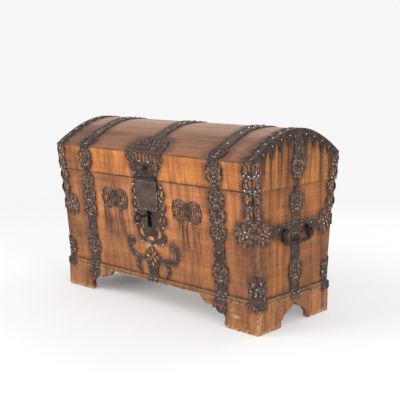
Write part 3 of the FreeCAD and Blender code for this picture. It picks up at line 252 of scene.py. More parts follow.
def makeWood(name):
    look, marks = withAlpha(woodLook[name]), withAlpha(woodMarks)
    material, tree, shader = newMaterial(name + "Wood")
    coords = addNode(tree, "TexCoord").outputs["Object"]
    along = look["alongX"]

    def grainCoords(length, across):
        scale = (length, across, across) if along else (across, length, across)
        return stretched(tree, coords, scale)

    fine = noiseOf(tree, grainCoords(5, 210), 1.0, 6, 0.62, 0.4)
    broad = noiseOf(tree, grainCoords(1.1, 26), 1.0, 5, 0.55, 0.9)
    patches = noiseOf(tree, coords, 3.1, 3, 0.5)
    pores = noiseOf(tree, grainCoords(14, 620), 1.0, 2, 0.5)
    upright = noiseOf(tree, stretched(tree, coords, (30, 30, 1.3)), 1.0, 5, 0.62, 0.5)
    flecks = noiseOf(tree, stretched(tree, coords, (95, 95, 5)), 1.0, 4, 0.65, 0.4)
    figure = noiseOf(tree, stretched(tree, coords, (24, 24, 2.2)), 1.0, 6, 0.68, 0.7)

    tone = mathOf(tree, "MULTIPLY", fine, 0.20)
    for part, share in ((broad, 0.80 - look["figure"]), (figure, look["figure"])):
        tone = mathOf(tree, "ADD", tone, mathOf(tree, "MULTIPLY", part, share))
    colour = mixOf(tree, rampOf(tree, tone, 0.43, 0.61), look["mid"], look["pale"])
    colour = mixOf(tree, rampOf(tree, tone, 0.46, 0.34, 0.0, 0.75), colour, look["dark"])
    colour = mixOf(tree, rampOf(tree, patches, 0.42, 0.68, 0.0, 0.50), colour,
                   mixOf(tree, 0.55, look["mid"], look["dark"]))
    streaks = mathOf(tree, "MULTIPLY", rampOf(tree, upright, 0.50, 0.68), look["streak"])
    colour = mixOf(tree, streaks, colour, mixOf(tree, 0.70, look["mid"], look["dark"]))
    colour = mixOf(tree, rampOf(tree, upright, 0.43, 0.30, 0.0, look["streak"] * 0.6), colour, look["pale"])
    colour = mixOf(tree, rampOf(tree, flecks, 0.56, 0.72, 0.0, look["streak"] * 0.7), colour, look["dark"])
    colour = mixOf(tree, rampOf(tree, pores, 0.60, 0.72, 0.0, 0.6), colour, look["dark"])
    # the dome is paler towards its crest: partly bleached wood, partly a painted sheen
    if "crestBleachAndSheen" in look:
        height = addNode(tree, "SeparateXYZ", {0: coords}).outputs["Z"]
        pale = rampOf(tree, height, chest["crest"] - 0.05, chest["crest"], 0.0, look["crestBleachAndSheen"])
        colour = mixOf(tree, pale, colour, marks["bleachAndSheenColour"])
        warm = rampOf(tree, height, chest["spring"] + 0.06, chest["spring"], 0.0, look["amber"])
        colour = mixOf(tree, mathOf(tree, "MULTIPLY", warm, rampOf(tree, broad, 0.35, 0.6)), colour,
                       marks["amber"])

    # iron stains, dirt and dark joints darken with one colour, which also paints shade on the feet's inner
    # sides and along the joints
    stainAndShade = addNode(tree, "Attribute", attribute_name="stainAndShade").outputs["Fac"]
    drip = addNode(tree, "Attribute", attribute_name="drip").outputs["Fac"]
    worn = addNode(tree, "Attribute", attribute_name="worn").outputs["Fac"]
    smudge = noiseOf(tree, coords, 26, 4, 0.62)
    dirtAndShadeShare = mathOf(tree, "MULTIPLY", stainAndShade, rampOf(tree, smudge, 0.28, 0.56, 0.5, 1.0))
    colour = mixOf(tree, dirtAndShadeShare, colour, marks["dirtAndShade"])
    dripShape = noiseOf(tree, stretched(tree, coords, (58, 58, 1.2)), 1.0, 3, 0.55, 0.3)
    dripShare = mathOf(tree, "MULTIPLY", drip, rampOf(tree, dripShape, 0.42, 0.56, 0.12, 0.95))
    colour = mixOf(tree, dripShare, colour, marks["run"])
    bareShare = mathOf(tree, "MULTIPLY", worn, rampOf(tree, noiseOf(tree, coords, 60, 5, 0.7), 0.43, 0.56))
    colour = mixOf(tree, bareShare, colour, marks["bare"])
    tree.links.new(colour, shader.inputs["Base Color"])

    rough = mathOf(tree, "ADD", rampOf(tree, fine, 0.3, 0.7, look["rough"] + 0.10, look["rough"] - 0.06),
                   mathOf(tree, "MULTIPLY", bareShare, 0.25))
    tree.links.new(rough, shader.inputs["Roughness"])
    shader.inputs["Specular IOR Level"].default_value = 0.28
    relief = mathOf(tree, "ADD", mathOf(tree, "MULTIPLY", fine, 0.5), mathOf(tree, "MULTIPLY", broad, 0.5))
    relief = mathOf(tree, "SUBTRACT", relief, rampOf(tree, pores, 0.60, 0.72, 0.0, 0.35))
    relief = mathOf(tree, "SUBTRACT", relief, mathOf(tree, "MULTIPLY", bareShare, 0.3))
    bump = addNode(tree, "Bump", {"Height": relief, "Strength": 0.5, "Distance": 1.2 * mm})
    tree.links.new(bump.outputs["Normal"], shader.inputs["Normal"])
    return material


woods = {name: makeWood(name) for name in woodLook}

ironLook = {
    "plate": {"base": (0.036, 0.021, 0.015), "light": (0.105, 0.066, 0.048), "rust": (0.105, 0.042, 0.022),
              "rough": 0.56, "metal": 0.35, "cloud": 24, "low": 0.35},
    "wornPlate": {"base": (0.046, 0.029, 0.022), "light": (0.135, 0.092, 0.071), "rust": (0.10, 0.045, 0.026),
                  "rough": 0.54, "metal": 0.35, "cloud": 24, "low": 0.35},
    # rims and bosses: pale patches, partly rubbed bright iron and partly painted highlight
    "darkRim": {"base": (0.024, 0.016, 0.013), "light": (0.15, 0.11, 0.09), "rust": (0.07, 0.03, 0.018),
                "rough": 0.46, "metal": 0.45, "cloud": 90, "low": 0.44},
    "rim": {"base": (0.034, 0.023, 0.019), "light": (0.46, 0.40, 0.37), "rust": (0.085, 0.038, 0.022),
            "rough": 0.40, "metal": 0.55, "cloud": 90, "low": 0.46},
    # nail heads: a near-white base, partly rubbed iron and partly painted highlight for their glints
    "nail": {"base": (0.34, 0.29, 0.25), "light": (0.85, 0.80, 0.74), "rust": (0.20, 0.10, 0.055),
             "rough": 0.22, "metal": 0.85, "cloud": 30, "low": 0.35},
    "brass": {"base": (0.60, 0.34, 0.10), "light": (0.90, 0.62, 0.28), "rust": (0.30, 0.14, 0.05),
              "rough": 0.30, "metal": 0.7, "cloud": 30, "low": 0.35},
    "black": {"base": (0.014, 0.010, 0.009), "light": (0.050, 0.038, 0.033), "rust": (0.040, 0.018, 0.012),
              "rough": 0.40, "metal": 0.4, "cloud": 30, "low": 0.35},
    # gloom: a near-black sheet that paints the shade behind the keyhole
    "gloom": {"base": (0.004, 0.003, 0.003), "light": (0.010, 0.008, 0.007), "rust": (0.008, 0.004, 0.003),
              "rough": 0.9, "metal": 0.0, "cloud": 30, "low": 0.35, "specular": 0.03},
}


def makeIron(name):
    look = withAlpha(ironLook[name])
    material, tree, shader = newMaterial(name + "Iron")
    coords = addNode(tree, "TexCoord").outputs["Object"]
    cloud = noiseOf(tree, coords, look["cloud"], 5, 0.6)
    grit = noiseOf(tree, coords, 240, 4, 0.65)
    rust = noiseOf(tree, coords, 45, 6, 0.7, 0.6)
    dents = addNode(tree, "TexVoronoi", {"Vector": coords, "Scale": 95.0}, feature="SMOOTH_F1")
    colour = mixOf(tree, rampOf(tree, cloud, look["low"], 0.68), look["base"], look["light"])
    colour = mixOf(tree, rampOf(tree, grit, look["low"] + 0.10, 0.75, 0.0, 0.45), colour, look["light"])
    colour = mixOf(tree, rampOf(tree, rust, 0.54, 0.70, 0.0, 0.75), colour, look["rust"])
    tree.links.new(colour, shader.inputs["Base Color"])
    tree.links.new(rampOf(tree, rust, 0.35, 0.7, look["rough"] - 0.08, look["rough"] + 0.22),
                   shader.inputs["Roughness"])
    shader.inputs["Metallic"].default_value = look["metal"]
    shader.inputs["Specular IOR Level"].default_value = look.get("specular", 0.4)
    relief = mathOf(tree, "ADD", mathOf(tree, "MULTIPLY", dents.outputs["Distance"], 0.8),
                    mathOf(tree, "MULTIPLY", grit, 0.35))
    bump = addNode(tree, "Bump", {"Height": relief, "Strength": 0.55, "Distance": 0.8 * mm})
    tree.links.new(bump.outputs["Normal"], shader.inputs["Normal"])
    return material


irons = {name: makeIron(name) for name in ironLook}
print("materials made")


# Flat drawings, in metres: discs are (across, up, radius), bars (across, low, high, half low, half high)

def bar(u, low, high, halfLow, halfHigh=None):
    return (u, low, high, halfLow, halfLow if halfHigh is None else halfHigh)


def reachOf(discs, bars, level):
    spans = [(u - math.sqrt(r * r - (level - v) ** 2), u + math.sqrt(r * r - (level - v) ** 2))
             for u, v, r in discs if abs(level - v) < r]
    for u, low, high, halfLow, halfHigh in bars:
        if low <= level <= high:
            half = halfLow + (halfHigh - halfLow) * (level - low) / (high - low)
            spans.append((u - half, u + half))
    return (min(s[0] for s in spans), max(s[1] for s in spans)) if spans else None


def sideOutline(discs, bars, low, high, step=1.5 * mm):
    # both sides of a shape that has one stretch at every height
    rows = max(4, round((high - low) / step))
    left, right = [], []
    for row in range(rows + 1):
        level = low + (high - low) * min(max(row / rows, 0.0004), 0.9996)
        reach = reachOf(discs, bars, level)
        if reach:
            left.append((reach[0], level))
            right.append((reach[1], level))
    return thinned(right + left[::-1])


def turned(points):
    return [(v, u) for u, v in points]


def thinned(points, tolerance=0.06 * mm, longest=11 * mm):
    # drops points that lie on the line of their neighbours
    kept = [points[0]]
    for i in range(1, len(points) - 1):
        a, b, c = Vector(kept[-1]), Vector(points[i]), Vector(points[i + 1])
        span = c - a
        off = abs(span.x * (b - a).y - span.y * (b - a).x) / max(span.length, 1e-9)
        if off > tolerance or span.length > longest:
            kept.append(points[i])
    kept.append(points[-1])
    return [p for p, q in zip(kept, kept[1:] + kept[:1]) if (Vector(p) - Vector(q)).length > 0.1 * mm]


def denser(points, step, closed=True):
    filled = []
    for a, b in zip(points, points[1:] + (points[:1] if closed else [])):
        count = max(1, math.ceil(math.dist(a, b) / step))
        filled += [tuple(x + (y - x) * i / count for x, y in zip(a, b)) for i in range(count)]
    return filled + ([] if closed else [points[-1]])


def smoothLine(points, perSpan=6):
    # a curve through the points, as a list of places along it
    ends = [points[0]] + list(points) + [points[-1]]
    line = []
    for a, b, c, d in zip(ends, ends[1:], ends[2:], ends[3:]):
        for i in range(perSpan):
            t = i / perSpan
            line.append(tuple(0.5 * (2 * q + (r - p) * t + (2 * p - 5 * q + 4 * r - s) * t * t
                                     + (3 * q - p - 3 * r + s) * t ** 3) for p, q, r, s in zip(a, b, c, d)))
    return line + [tuple(points[-1])]


def leafOutline(u, v, length, width, angle, curl=0.0, count=14):
    # a drop with its broad end towards the angle, bent by its curl
    points, along, across = [], math.cos(math.radians(angle)), math.sin(math.radians(angle))
    for i in range(count):
        t = 2 * math.pi * i / count
        x = length / 2 * math.cos(t)
        y = width / 2 * math.sin(t) * (0.80 + 0.26 * math.cos(t)) + curl * x * x * 4 / length
        points.append((u + x * along - y * across, v + x * across + y * along))
    return points


def leaves(u, v, side, table):
    # in mm from a place: across, up, length, width, turn from upright, curl
    return [leafOutline(u + side * a * mm, v + b * mm, length * mm, wide * mm, 90 + side * turn, side * curl)
            for a, b, length, wide, turn, curl in table]


def arcPoints(u, v, radius, angles):
    return [(u + radius * math.cos(math.radians(a)), v + radius * math.sin(math.radians(a))) for a in angles]


def gathered(parts):
    # one list of discs and one of holes, from several ornaments
    return [sum(lists, []) for lists in zip(*parts)]


def inset(points, distance):
    # the same closed outline moved to its own inside
    area = sum(a[0] * b[1] - b[0] * a[1] for a, b in zip(points, points[1:] + points[:1]))
    side, moved = (1 if area > 0 else -1), []
    for i, p in enumerate(points):
        along = (Vector(points[(i + 1) % len(points)]) - Vector(points[i - 1])).normalized()
        moved.append((p[0] - along.y * side * distance, p[1] + along.x * side * distance))
    return moved


def isInside(point, outline):
    u, v = point
    crossings = sum(1 for a, b in zip(outline, outline[1:] + outline[:1])
                    if (a[1] > v) != (b[1] > v) and u < a[0] + (b[0] - a[0]) * (v - a[1]) / (b[1] - a[1]))
    return crossings % 2 == 1


webSizes = {"web": 1.5 * mm, "cell": 4 * mm}


def cellOf(point):
    return (math.floor(point[0] / webSizes["cell"]), math.floor(point[1] / webSizes["cell"]))


def fittedHoles(outer, holes):
    # a web of iron stays between each hole, the next one and the plate's edge
    taken, kept = {}, []

    def take(points):
        for p in denser(points, 1.5 * mm):
            taken.setdefault(cellOf(p), []).append(p)

    def isClear(points):
        for p in denser(points, 2 * mm):
            a, b = cellOf(p)
            for near in ((a + i, b + j) for i in (-1, 0, 1) for j in (-1, 0, 1)):
                if any(math.dist(p, q) < webSizes["web"] for q in taken.get(near, ())):
                    return False
        return True

    take(outer)
    for hole in holes:
        middle = tuple(sum(c) / len(hole) for c in zip(*hole))
        if not isInside(middle, outer) or any(isInside(middle, other) for other in kept):
            continue
        for share in (1, 0.84, 0.68, 0.52):
            smaller = [tuple(m + (c - m) * share for m, c in zip(middle, p)) for p in hole]
            if isClear(smaller) and not any(isInside(other[0], smaller) for other in kept):
                kept.append(smaller)
                take(smaller)
                break
    return kept


# Ironwork: plates cut from flat drawings, raised rims, bars, bosses and nails, laid on the chest's faces; the
# rims, bosses and nail heads are pale partly from wear and partly from painted highlight

ironSizes = {"thickness": 2.6 * mm, "edge": 0.6 * mm, "rim": 1.7 * mm, "holeRim": 1.05 * mm, "nail": 4.2 * mm,
             "bed": 0.1 * mm, "inlay": 0.6 * mm, "inlayLap": 0.6 * mm, "inlayLift": 0.35 * mm}


def startIron():
    return {kind: [] for kind in ("plates", "lines", "darkLines", "strokes", "bosses", "inlays", "brass")}


nailHeads = {"chest": [], "lid": []}


def addPlate(iron, outer, holes, face, lift=0.0, thickness=None, rimFrom=None):
    # rimFrom: a plate that meets another one at a corner has no rim nearer to it than this
    thickness = thickness or ironSizes["thickness"]
    holes = fittedHoles(outer, holes)
    iron["plates"].append((outer, holes, face, lift, thickness))
    top = lift + thickness
    rims = [(outer, ironSizes["rim"], 1)] + [(hole, ironSizes["holeRim"], -1) for hole in holes]
    for outline, radius, side in rims:
        path = inset(outline, side * radius * 0.8)
        isOpen = rimFrom is not None and side == 1
        if isOpen:
            path = [p for p in path if p[0] > rimFrom]
        if min(p[1] for p in path) < chest["mouldingTop"] + 3 * mm:
            path = denser(path, 2.5 * mm, not isOpen)
        iron[linesOn(face)].append(([face(u, v, top) for u, v in path], radius, not isOpen))


def linesOn(face):
    return "darkLines" if face is domeMap else "lines"


def addLine(iron, points, radius, face, height=None, closed=False):
    height = ironSizes["thickness"] if height is None else height
    path = [face(u, v, height) for u, v in denser(points, 4 * mm, closed)]
    iron[linesOn(face)].append((path, radius, closed))


def radiiAlong(line, widths):
    # half the width at each point, going through the given widths from end to end
    radii = []
    for i in range(len(line)):
        place = i / (len(line) - 1) * (len(widths) - 1)
        first = min(int(place), len(widths) - 2) if len(widths) > 1 else 0
        last = min(first + 1, len(widths) - 1)
        radii.append((widths[first] + (widths[last] - widths[first]) * (place - first)) / 2)
    return radii


def addStroke(iron, points, widths, face, flatness=0.5, closed=False):
    line = smoothLine(points) if not closed else points
    iron["strokes"].append((line, radiiAlong(line, widths), face, flatness, closed))


def addScroll(iron, points, width, face, closed=False):
    # a rounded bar with a ridge along it, whose pale rim colour is partly a painted highlight
    addStroke(iron, points, (width,) if closed else (width * 0.8, width, width * 0.7), face, 0.5, closed)
    addLine(iron, points if closed else smoothLine(points), width * 0.22, face, width * 0.34, closed)


def addRibbon(iron, points, widths, face):
    # a flat band along a smooth line
    line = smoothLine(points)
    left, right = [], []
    for i, (p, half) in enumerate(zip(line, radiiAlong(line, widths))):
        along = (Vector(line[min(i + 1, len(line) - 1)]) - Vector(line[max(i - 1, 0)])).normalized()
        left.append((p[0] - along.y * half, p[1] + along.x * half))
        right.append((p[0] + along.y * half, p[1] - along.x * half))
    addPlate(iron, left + right[::-1], [], face, 0.0, ironSizes["thickness"] - 0.3 * mm)


def addBoss(iron, u, v, face, radius, height=None):
    height = ironSizes["thickness"] if height is None else height
    base = face(u, v, height)
    iron["bosses"].append((base, (face(u, v, height + mm) - base).normalized(), radius))


def addNail(body, u, v, face, radius=None, height=None):
    height = ironSizes["thickness"] if height is None else height
    base = face(u, v, height)
    nailHeads[body].append((base, (face(u, v, height + mm) - base).normalized(), radius or ironSizes["nail"]))


def meshOfCurve(data):
    holder = bpy.data.objects.new("drawing", data)
    bpy.context.scene.collection.objects.link(holder)
    bpy.context.view_layer.update()
    mesh = bpy.data.meshes.new_from_object(holder.evaluated_get(bpy.context.evaluated_depsgraph_get()))
    bpy.data.objects.remove(holder)
    bpy.data.curves.remove(data)
    bm = bmesh.new()
    bm.from_mesh(mesh)
    bpy.data.meshes.remove(mesh)
    return bm


def addSpline(data, places, radii, closed):
    spline = data.splines.new("POLY")
    spline.points.add(len(places) - 1)
    for point, place, radius in zip(spline.points, places, radii):
        point.co = (place[0], place[1], place[2] if len(place) > 2 else 0, 1)
        point.radius = radius
    spline.use_cyclic_u = closed


def bentPlate(outer, holes, face, lift, thickness):
    data = bpy.data.curves.new("drawing", "CURVE")
    data.dimensions, data.fill_mode = "2D", "BOTH"
    edge = ironSizes["edge"]
    data.extrude, data.bevel_depth, data.bevel_resolution, data.offset = thickness / 2 - edge, edge, 0, -edge
    for outline in [outer] + holes:
        addSpline(data, outline, [1] * len(outline), True)
    bm = meshOfCurve(data)
    bmesh.ops.remove_doubles(bm, verts=bm.verts, dist=0.01 * mm)
    low, high = min(p[1] for p in outer), max(p[1] for p in outer)
    levels = []
    if face is domeMap:
        levels = [low + i * 9 * mm for i in range(1, int((high - low) / (9 * mm)) + 1)]
    elif low < chest["mouldingTop"] + 2 * mm:
        bend = chest["mouldingTop"] - chest["chamfer"]
        levels = [bend + i * 1.5 * mm for i in range(-1, 7)]
    for level in levels:
        bmesh.ops.bisect_plane(bm, geom=bm.verts[:] + bm.edges[:] + bm.faces[:], dist=0.01 * mm,
                               plane_co=(0, level, 0), plane_no=(0, 1, 0))
    for vert in bm.verts:
        u, v, h = vert.co
        vert.co = face(u, v, h + thickness / 2 + lift + ironSizes["bed"])
    return bm


def inlayOf(holes, face, lift):
    # the wood seen through the openings, as thin inlays that lap under their edges
    data = bpy.data.curves.new("inlay", "CURVE")
    data.dimensions, data.fill_mode, data.extrude = "2D", "BOTH", ironSizes["inlay"] / 2
    for hole in holes:
        addSpline(data, inset(hole, -ironSizes["inlayLap"]), [1] * len(hole), True)
    bm = meshOfCurve(data)
    bmesh.ops.remove_doubles(bm, verts=bm.verts, dist=0.01 * mm)
    for vert in bm.verts:
        u, v, h = vert.co
        vert.co = face(u, v, h + ironSizes["inlay"] / 2 + 2 * ironSizes["bed"] + lift)
    return bm


def bentStroke(line, radii, face, flatness, closed):
    data = bpy.data.curves.new("bar", "CURVE")
    data.dimensions, data.bevel_depth, data.bevel_resolution, data.use_fill_caps = "3D", 1.0, 3, not closed
    addSpline(data, line, radii, closed)
    bm = meshOfCurve(data)
    bmesh.ops.remove_doubles(bm, verts=bm.verts, dist=0.01 * mm)
    # the underside is pressed flat, so that the bar stays closed
    bottom = -0.4 * min(radii)
    for vert in bm.verts:
        u, v, h = vert.co
        vert.co = face(u, v, (max(h, bottom) - bottom) * flatness + ironSizes["bed"])
    return bm


def joinInto(target, source, material):
    mesh = bpy.data.meshes.new("part")
    for part in source.faces:
        part.material_index = material
    source.to_mesh(mesh)
    source.free()
    target.from_mesh(mesh)
    bpy.data.meshes.remove(mesh)


def tubes(lines, resolution=1):
    data = bpy.data.curves.new("rims", "CURVE")
    data.dimensions, data.bevel_depth, data.bevel_resolution, data.use_fill_caps = "3D", 1.0, resolution, True
    for points, radius, closed in lines:
        addSpline(data, points, [radius] * len(points), closed)
    return meshOfCurve(data)


def domedHead(flatness, segments=9, rings=6):
    bm = bmesh.new()
    bmesh.ops.create_uvsphere(bm, u_segments=segments, v_segments=rings, radius=1.0)
    bmesh.ops.bisect_plane(bm, geom=bm.verts[:] + bm.edges[:] + bm.faces[:], plane_co=(0, 0, -0.25),
                           plane_no=(0, 0, 1), clear_inner=True)
    bmesh.ops.holes_fill(bm, edges=[e for e in bm.edges if e.is_boundary])
    bmesh.ops.scale(bm, vec=(1, 1, flatness), verts=bm.verts)
    mesh = bpy.data.meshes.new("domedHead")
    bm.to_mesh(mesh)
    bm.free()
    return mesh


nailMesh, bossMesh = domedHead(0.72), domedHead(0.5, 12, 8)
headDice = random.Random(7)


def addHeads(target, heads, template, material):
    for base, outward, radius in heads:
        head = bmesh.new()
        head.from_mesh(template)
        turn = Matrix.Rotation(headDice.uniform(0, math.tau), 4, "Z")
        size = radius * headDice.uniform(0.9, 1.12)
        placed = Matrix.Translation(base) @ outward.to_track_quat("Z", "Y").to_matrix().to_4x4()
        bmesh.ops.transform(head, matrix=placed @ turn @ Matrix.Scale(size, 4), verts=head.verts)
        joinInto(target, head, material)


def smoothShade(bm, limit=math.radians(38)):
    for face in bm.faces:
        face.smooth = True
    for edge in bm.edges:
        edge.smooth = len(edge.link_faces) == 2 and edge.calc_face_angle(0) < limit


def finishPiece(bm, name, body, replaced, materials):
    mesh = bpy.data.meshes.new(name)
    bm.to_mesh(mesh)
    bm.free()
    piece = bpy.data.objects.new(name, mesh)
    bpy.context.scene.collection.objects.link(piece)
    for material in materials:
        mesh.materials.append(material)
    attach(piece, body)
    if replaced:
        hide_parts(*replaced)
    return piece


ironPoints = []


def finishIron(iron, name, body, replaced, extra=None, inlay="opening", rim="rim", plate="plate",
               stains=True):
    bm = bmesh.new()
    for outer, holes, face, lift, thickness in iron["plates"]:
        joinInto(bm, bentPlate(outer, holes, face, lift, thickness), 0)
        if holes:
            joinInto(bm, inlayOf(holes, face, lift), 7 if face is domeMap else 2)
    for hole, face, material in iron["inlays"]:
        joinInto(bm, inlayOf([hole], face, ironSizes["inlayLift"]), material)
    for stroke in iron["strokes"]:
        joinInto(bm, bentStroke(*stroke), 0)
    if extra:
        joinInto(bm, extra, 4)
    for kind, material in (("lines", 1), ("darkLines", 8)):
        if iron[kind]:
            joinInto(bm, tubes(iron[kind]), material)
    addHeads(bm, iron["bosses"], bossMesh, 1)
    addHeads(bm, iron["brass"], nailMesh, 6)
    bmesh.ops.recalc_face_normals(bm, faces=bm.faces)
    smoothShade(bm)
    if body in nailHeads and stains:
        ironPoints.extend(v.co.copy() for v in bm.verts[:][::5])
    return finishPiece(bm, name, body, replaced,
                       [irons[plate], irons[rim], woods[inlay], irons["gloom"], irons["black"],
                        woods["freshOpening"], irons["brass"], woods["darkOpening"], irons["darkRim"]])


# Ornaments, in shares of half their width and height. Holes: across, up, length, width, angle, curl

medallionDiscs = ((0.0, 0.0, 0.66), (0.0, 0.58, 0.48), (0.55, 0.36, 0.45), (-0.55, 0.36, 0.45),
                  (0.58, -0.18, 0.42), (-0.58, -0.18, 0.42), (0.33, -0.54, 0.42), (-0.33, -0.54, 0.42),
                  (0.0, -0.76, 0.26))
medallionPairs = ((0.66, 0.36, 0.58, 0.30, -64, -0.14), (0.65, -0.24, 0.52, 0.28, 62, 0.14),
                  (0.27, 0.26, 0.36, 0.17, 74, 0.10), (0.25, -0.26, 0.34, 0.16, -70, -0.10),
                  (0.40, -0.66, 0.34, 0.19, 38, 0.10), (0.29, 0.70, 0.32, 0.17, 60, -0.10),
                  (0.44, 0.06, 0.22, 0.12, 12, 0.0), (0.13, -0.52, 0.18, 0.10, 30, 0.0))
medallionMiddle = ((0.0, 0.82, 0.22, 0.15, 90, 0.0), (0.0, -0.74, 0.26, 0.13, -90, 0.0))
medallionScroll = ((0.05, -0.92), (0.16, -0.56), (0.42, -0.42), (0.46, -0.06), (0.46, 0.16), (0.42, 0.46),
                   (0.16, 0.52), (0.10, 0.34))
medallionBosses = ((0.0, 0.44, 0.14), (0.0, 0.08, 0.13), (0.0, -0.22, 0.15))
rosetteDiscs = ((0.0, 0.0, 0.62), (0.0, 0.60, 0.38), (0.0, -0.60, 0.38), (0.60, 0.0, 0.40),
                (-0.60, 0.0, 0.40), (0.46, 0.46, 0.36), (-0.46, 0.46, 0.36), (0.46, -0.46, 0.36),
                (-0.46, -0.46, 0.36))
rosetteCurl = ((0.14, 0), (0.36, 14), (0.62, 2), (0.84, -18), (0.80, -34))


def scaledDiscs(u, v, halfU, halfV, shares, flip=1):
    radius = min(halfU, halfV)
    return [(u + a * halfU, v + flip * b * halfV, r * radius) for a, b, r in shares]


smithDice = random.Random(5)


def leafHoles(u, v, halfU, halfV, shares, mirrored, flip=1):
    # the smith's hand: no two openings are quite alike
    size, holes = min(halfU, halfV), []
    for a, b, length, width, angle, curl in shares:
        for side in ((1, -1) if mirrored else (1,)):
            turn = (angle if side > 0 else 180 - angle) + smithDice.uniform(-9, 9)
            grown = size * smithDice.uniform(0.9, 1.15)
            hole = leafOutline(side * a * halfU, b * halfV, length * grown, width * grown, turn, side * curl)
            holes.append([(u + p, v + flip * q) for p, q in hole])
    return holes


def addMedallion(iron, body, u, v, width, height, face, flip=1):
    halfU, halfV = width / 2, height / 2
    discs = scaledDiscs(u, v, halfU, halfV, medallionDiscs, flip)
    holes = leafHoles(u, v, halfU, halfV, medallionPairs, True, flip)
    holes += leafHoles(u, v, halfU, halfV, medallionMiddle, False, flip)
    for side in (-1, 1):
        scroll = smoothLine([(u + side * a * halfU, v + flip * b * halfV) for a, b in medallionScroll], 4)
        addLine(iron, scroll, 1.5 * mm, face)
        addNail(body, u + side * 0.15 * halfU, v - flip * 0.52 * halfV, face, 3.4 * mm)
    for a, b, r in medallionBosses:
        addBoss(iron, u + a * halfU, v + flip * b * halfV, face, r * min(halfU, halfV))
    return discs, holes


def addRosette(iron, u, v, face):
    halfU, halfV = endSizes["rosetteWidth"] / 2, endSizes["rosetteHeight"] / 2
    holes = []
    for i in range(8):
        angle = 22.5 + 45 * i
        across, up = math.cos(math.radians(angle + 22.5)), math.sin(math.radians(angle + 22.5))
        swell = smithDice.uniform(0.9, 1.15)
        holes.append(leafOutline(u + across * 0.66 * halfU, v + up * 0.66 * halfV, 0.50 * swell * halfV,
                                 0.30 * swell * halfV, angle + 22.5 + smithDice.uniform(-16, 16), 0.12))
        across, up = math.cos(math.radians(angle)), math.sin(math.radians(angle))
        holes.append(leafOutline(u + across * 0.42 * halfU, v + up * 0.42 * halfV, 0.36 * halfV, 0.17 * halfV,
                                 angle + smithDice.uniform(-16, 16), 0.12))
        if i % 2:
            addNail("chest", u + across * 0.27 * halfU, v + up * 0.27 * halfV, face, 4.2 * mm)
            curl = [(u + r * halfU * math.cos(math.radians(angle + turn)),
                     v + r * halfV * math.sin(math.radians(angle + turn))) for r, turn in rosetteCurl]
            addLine(iron, smoothLine(curl, 4), 1.6 * mm, face)
    addBoss(iron, u, v, face, 0.11 * halfV)
    return scaledDiscs(u, v, halfU, halfV, rosetteDiscs), holes


def addBorders(iron, u, low, high, face, radius=1.9 * mm):
    for side in (-1, 1):
        edge = u + side * (halfStrap - radius)
        addLine(iron, [(edge, low), (edge, high)], radius, face)


def addClasp(iron, u, face, rise=3 * mm):
    levels = (chest["baseTop"] + rise, chest["mouldingTop"] + 3 * mm)
    for level in levels:
        addLine(iron, [(u - halfStrap, level), (u + halfStrap, level)], 2.2 * mm, face)
    for shift in (-0.55, 0.55):
        addNail("chest", u + shift * halfStrap, (levels[0] + levels[1]) / 2, face, 3.2 * mm)


# Bands of the front: three lobes, a plain shaft, a fourth lobe and a toe that ends on the base

bandSizes = {"inset": 200 * mm, "width": 94 * mm, "strap": 58 * mm, "runDrop": 123 * mm, "pitch": 72 * mm,
             "lobeHeight": 88 * mm, "lowRise": 86.5 * mm, "lowHeight": 111 * mm, "foot": 60 * mm,
             "seamGap": 0.5 * mm}
bandPlace = chest["halfWidth"] - bandSizes["inset"]
halfStrap = bandSizes["strap"] / 2
toeLeaves = ((0, -5, 26, 12, 0, 0), (-14, 9, 17, 8, 30, 0), (14, 9, 17, 8, -30, 0))


def makeFrontBand(side, name):
    iron, u = startIron(), side * bandPlace
    runZ, lowZ = chest["seam"] - bandSizes["runDrop"], chest["mouldingTop"] + bandSizes["lowRise"]
    pitch, width, top = bandSizes["pitch"], bandSizes["width"], chest["seam"] - bandSizes["seamGap"]
    discs, holes = gathered([addMedallion(iron, "chest", u, runZ + step * pitch, width,
                                          bandSizes["lobeHeight"], frontMap) for step in (1, 0, -1)])
    low, lowHoles = addMedallion(iron, "chest", u, lowZ, width, bandSizes["lowHeight"], frontMap)
    toe = bandSizes["foot"] + halfStrap
    bars = [bar(u, runZ + pitch, top, halfStrap / 3), bar(u, toe, runZ - pitch, halfStrap)]
    outline = sideOutline(discs + low + [(u, toe, halfStrap)], bars, bandSizes["foot"], top)
    addPlate(iron, outline, holes + lowHoles + leaves(u, toe, 1, toeLeaves), frontMap)
    addBorders(iron, u, lowZ + bandSizes["lowHeight"] * 0.5, runZ - pitch * 1.6, frontMap)
    addBorders(iron, u, toe + 16 * mm, lowZ - bandSizes["lowHeight"] * 0.46, frontMap)
    addClasp(iron, u, frontMap, 2 * mm)
    addNail("chest", u, (runZ - pitch * 1.6 + lowZ + bandSizes["lowHeight"] / 2) / 2, frontMap, 3.4 * mm)
    finishIron(iron, name + "_ironwork", "chest", [name])


makeFrontBand(1, "front_right_band")
makeFrontBand(-1, "front_left_band")
print("front bands made")

# Lock plate: a shield with round lobes down its sides and an open foot

lockSizes = {"width": 232 * mm, "gap": 22 * mm, "height": 290 * mm, "lobe": 28 * mm, "keyDrop": 164 * mm,
             "keyhole": 16 * mm, "slotWidth": 31 * mm, "slotDrop": 64 * mm}
lockSides = ((0.85, 6 * mm), (0.645, 4 * mm), (0.425, 4 * mm), (0.15, 16 * mm))
lockFeet = ((0.0, 0.10), (0.42, 0.13), (-0.42, 0.13))
lockLobeLeaves = ((9, 2, 38, 17, 0, -0.24), (-9, 6, 26, 12, -16, 0.2), (-6, -19, 18, 9, 50, 0.1))
lockFootLeaves = ((59, 52, 48, 27, -24, 0.2), (46, 26, 32, 17, 60, -0.1), (74, 92, 44, 15, -10, 0.2),
                  (48, 86, 30, 12, -35, 0.2))
lockScroll = ((6, 10), (27, 28), (36, 58), (62, 82), (66, 116), (54, 128))
keyHeight = chest["seam"] - lockSizes["keyDrop"]


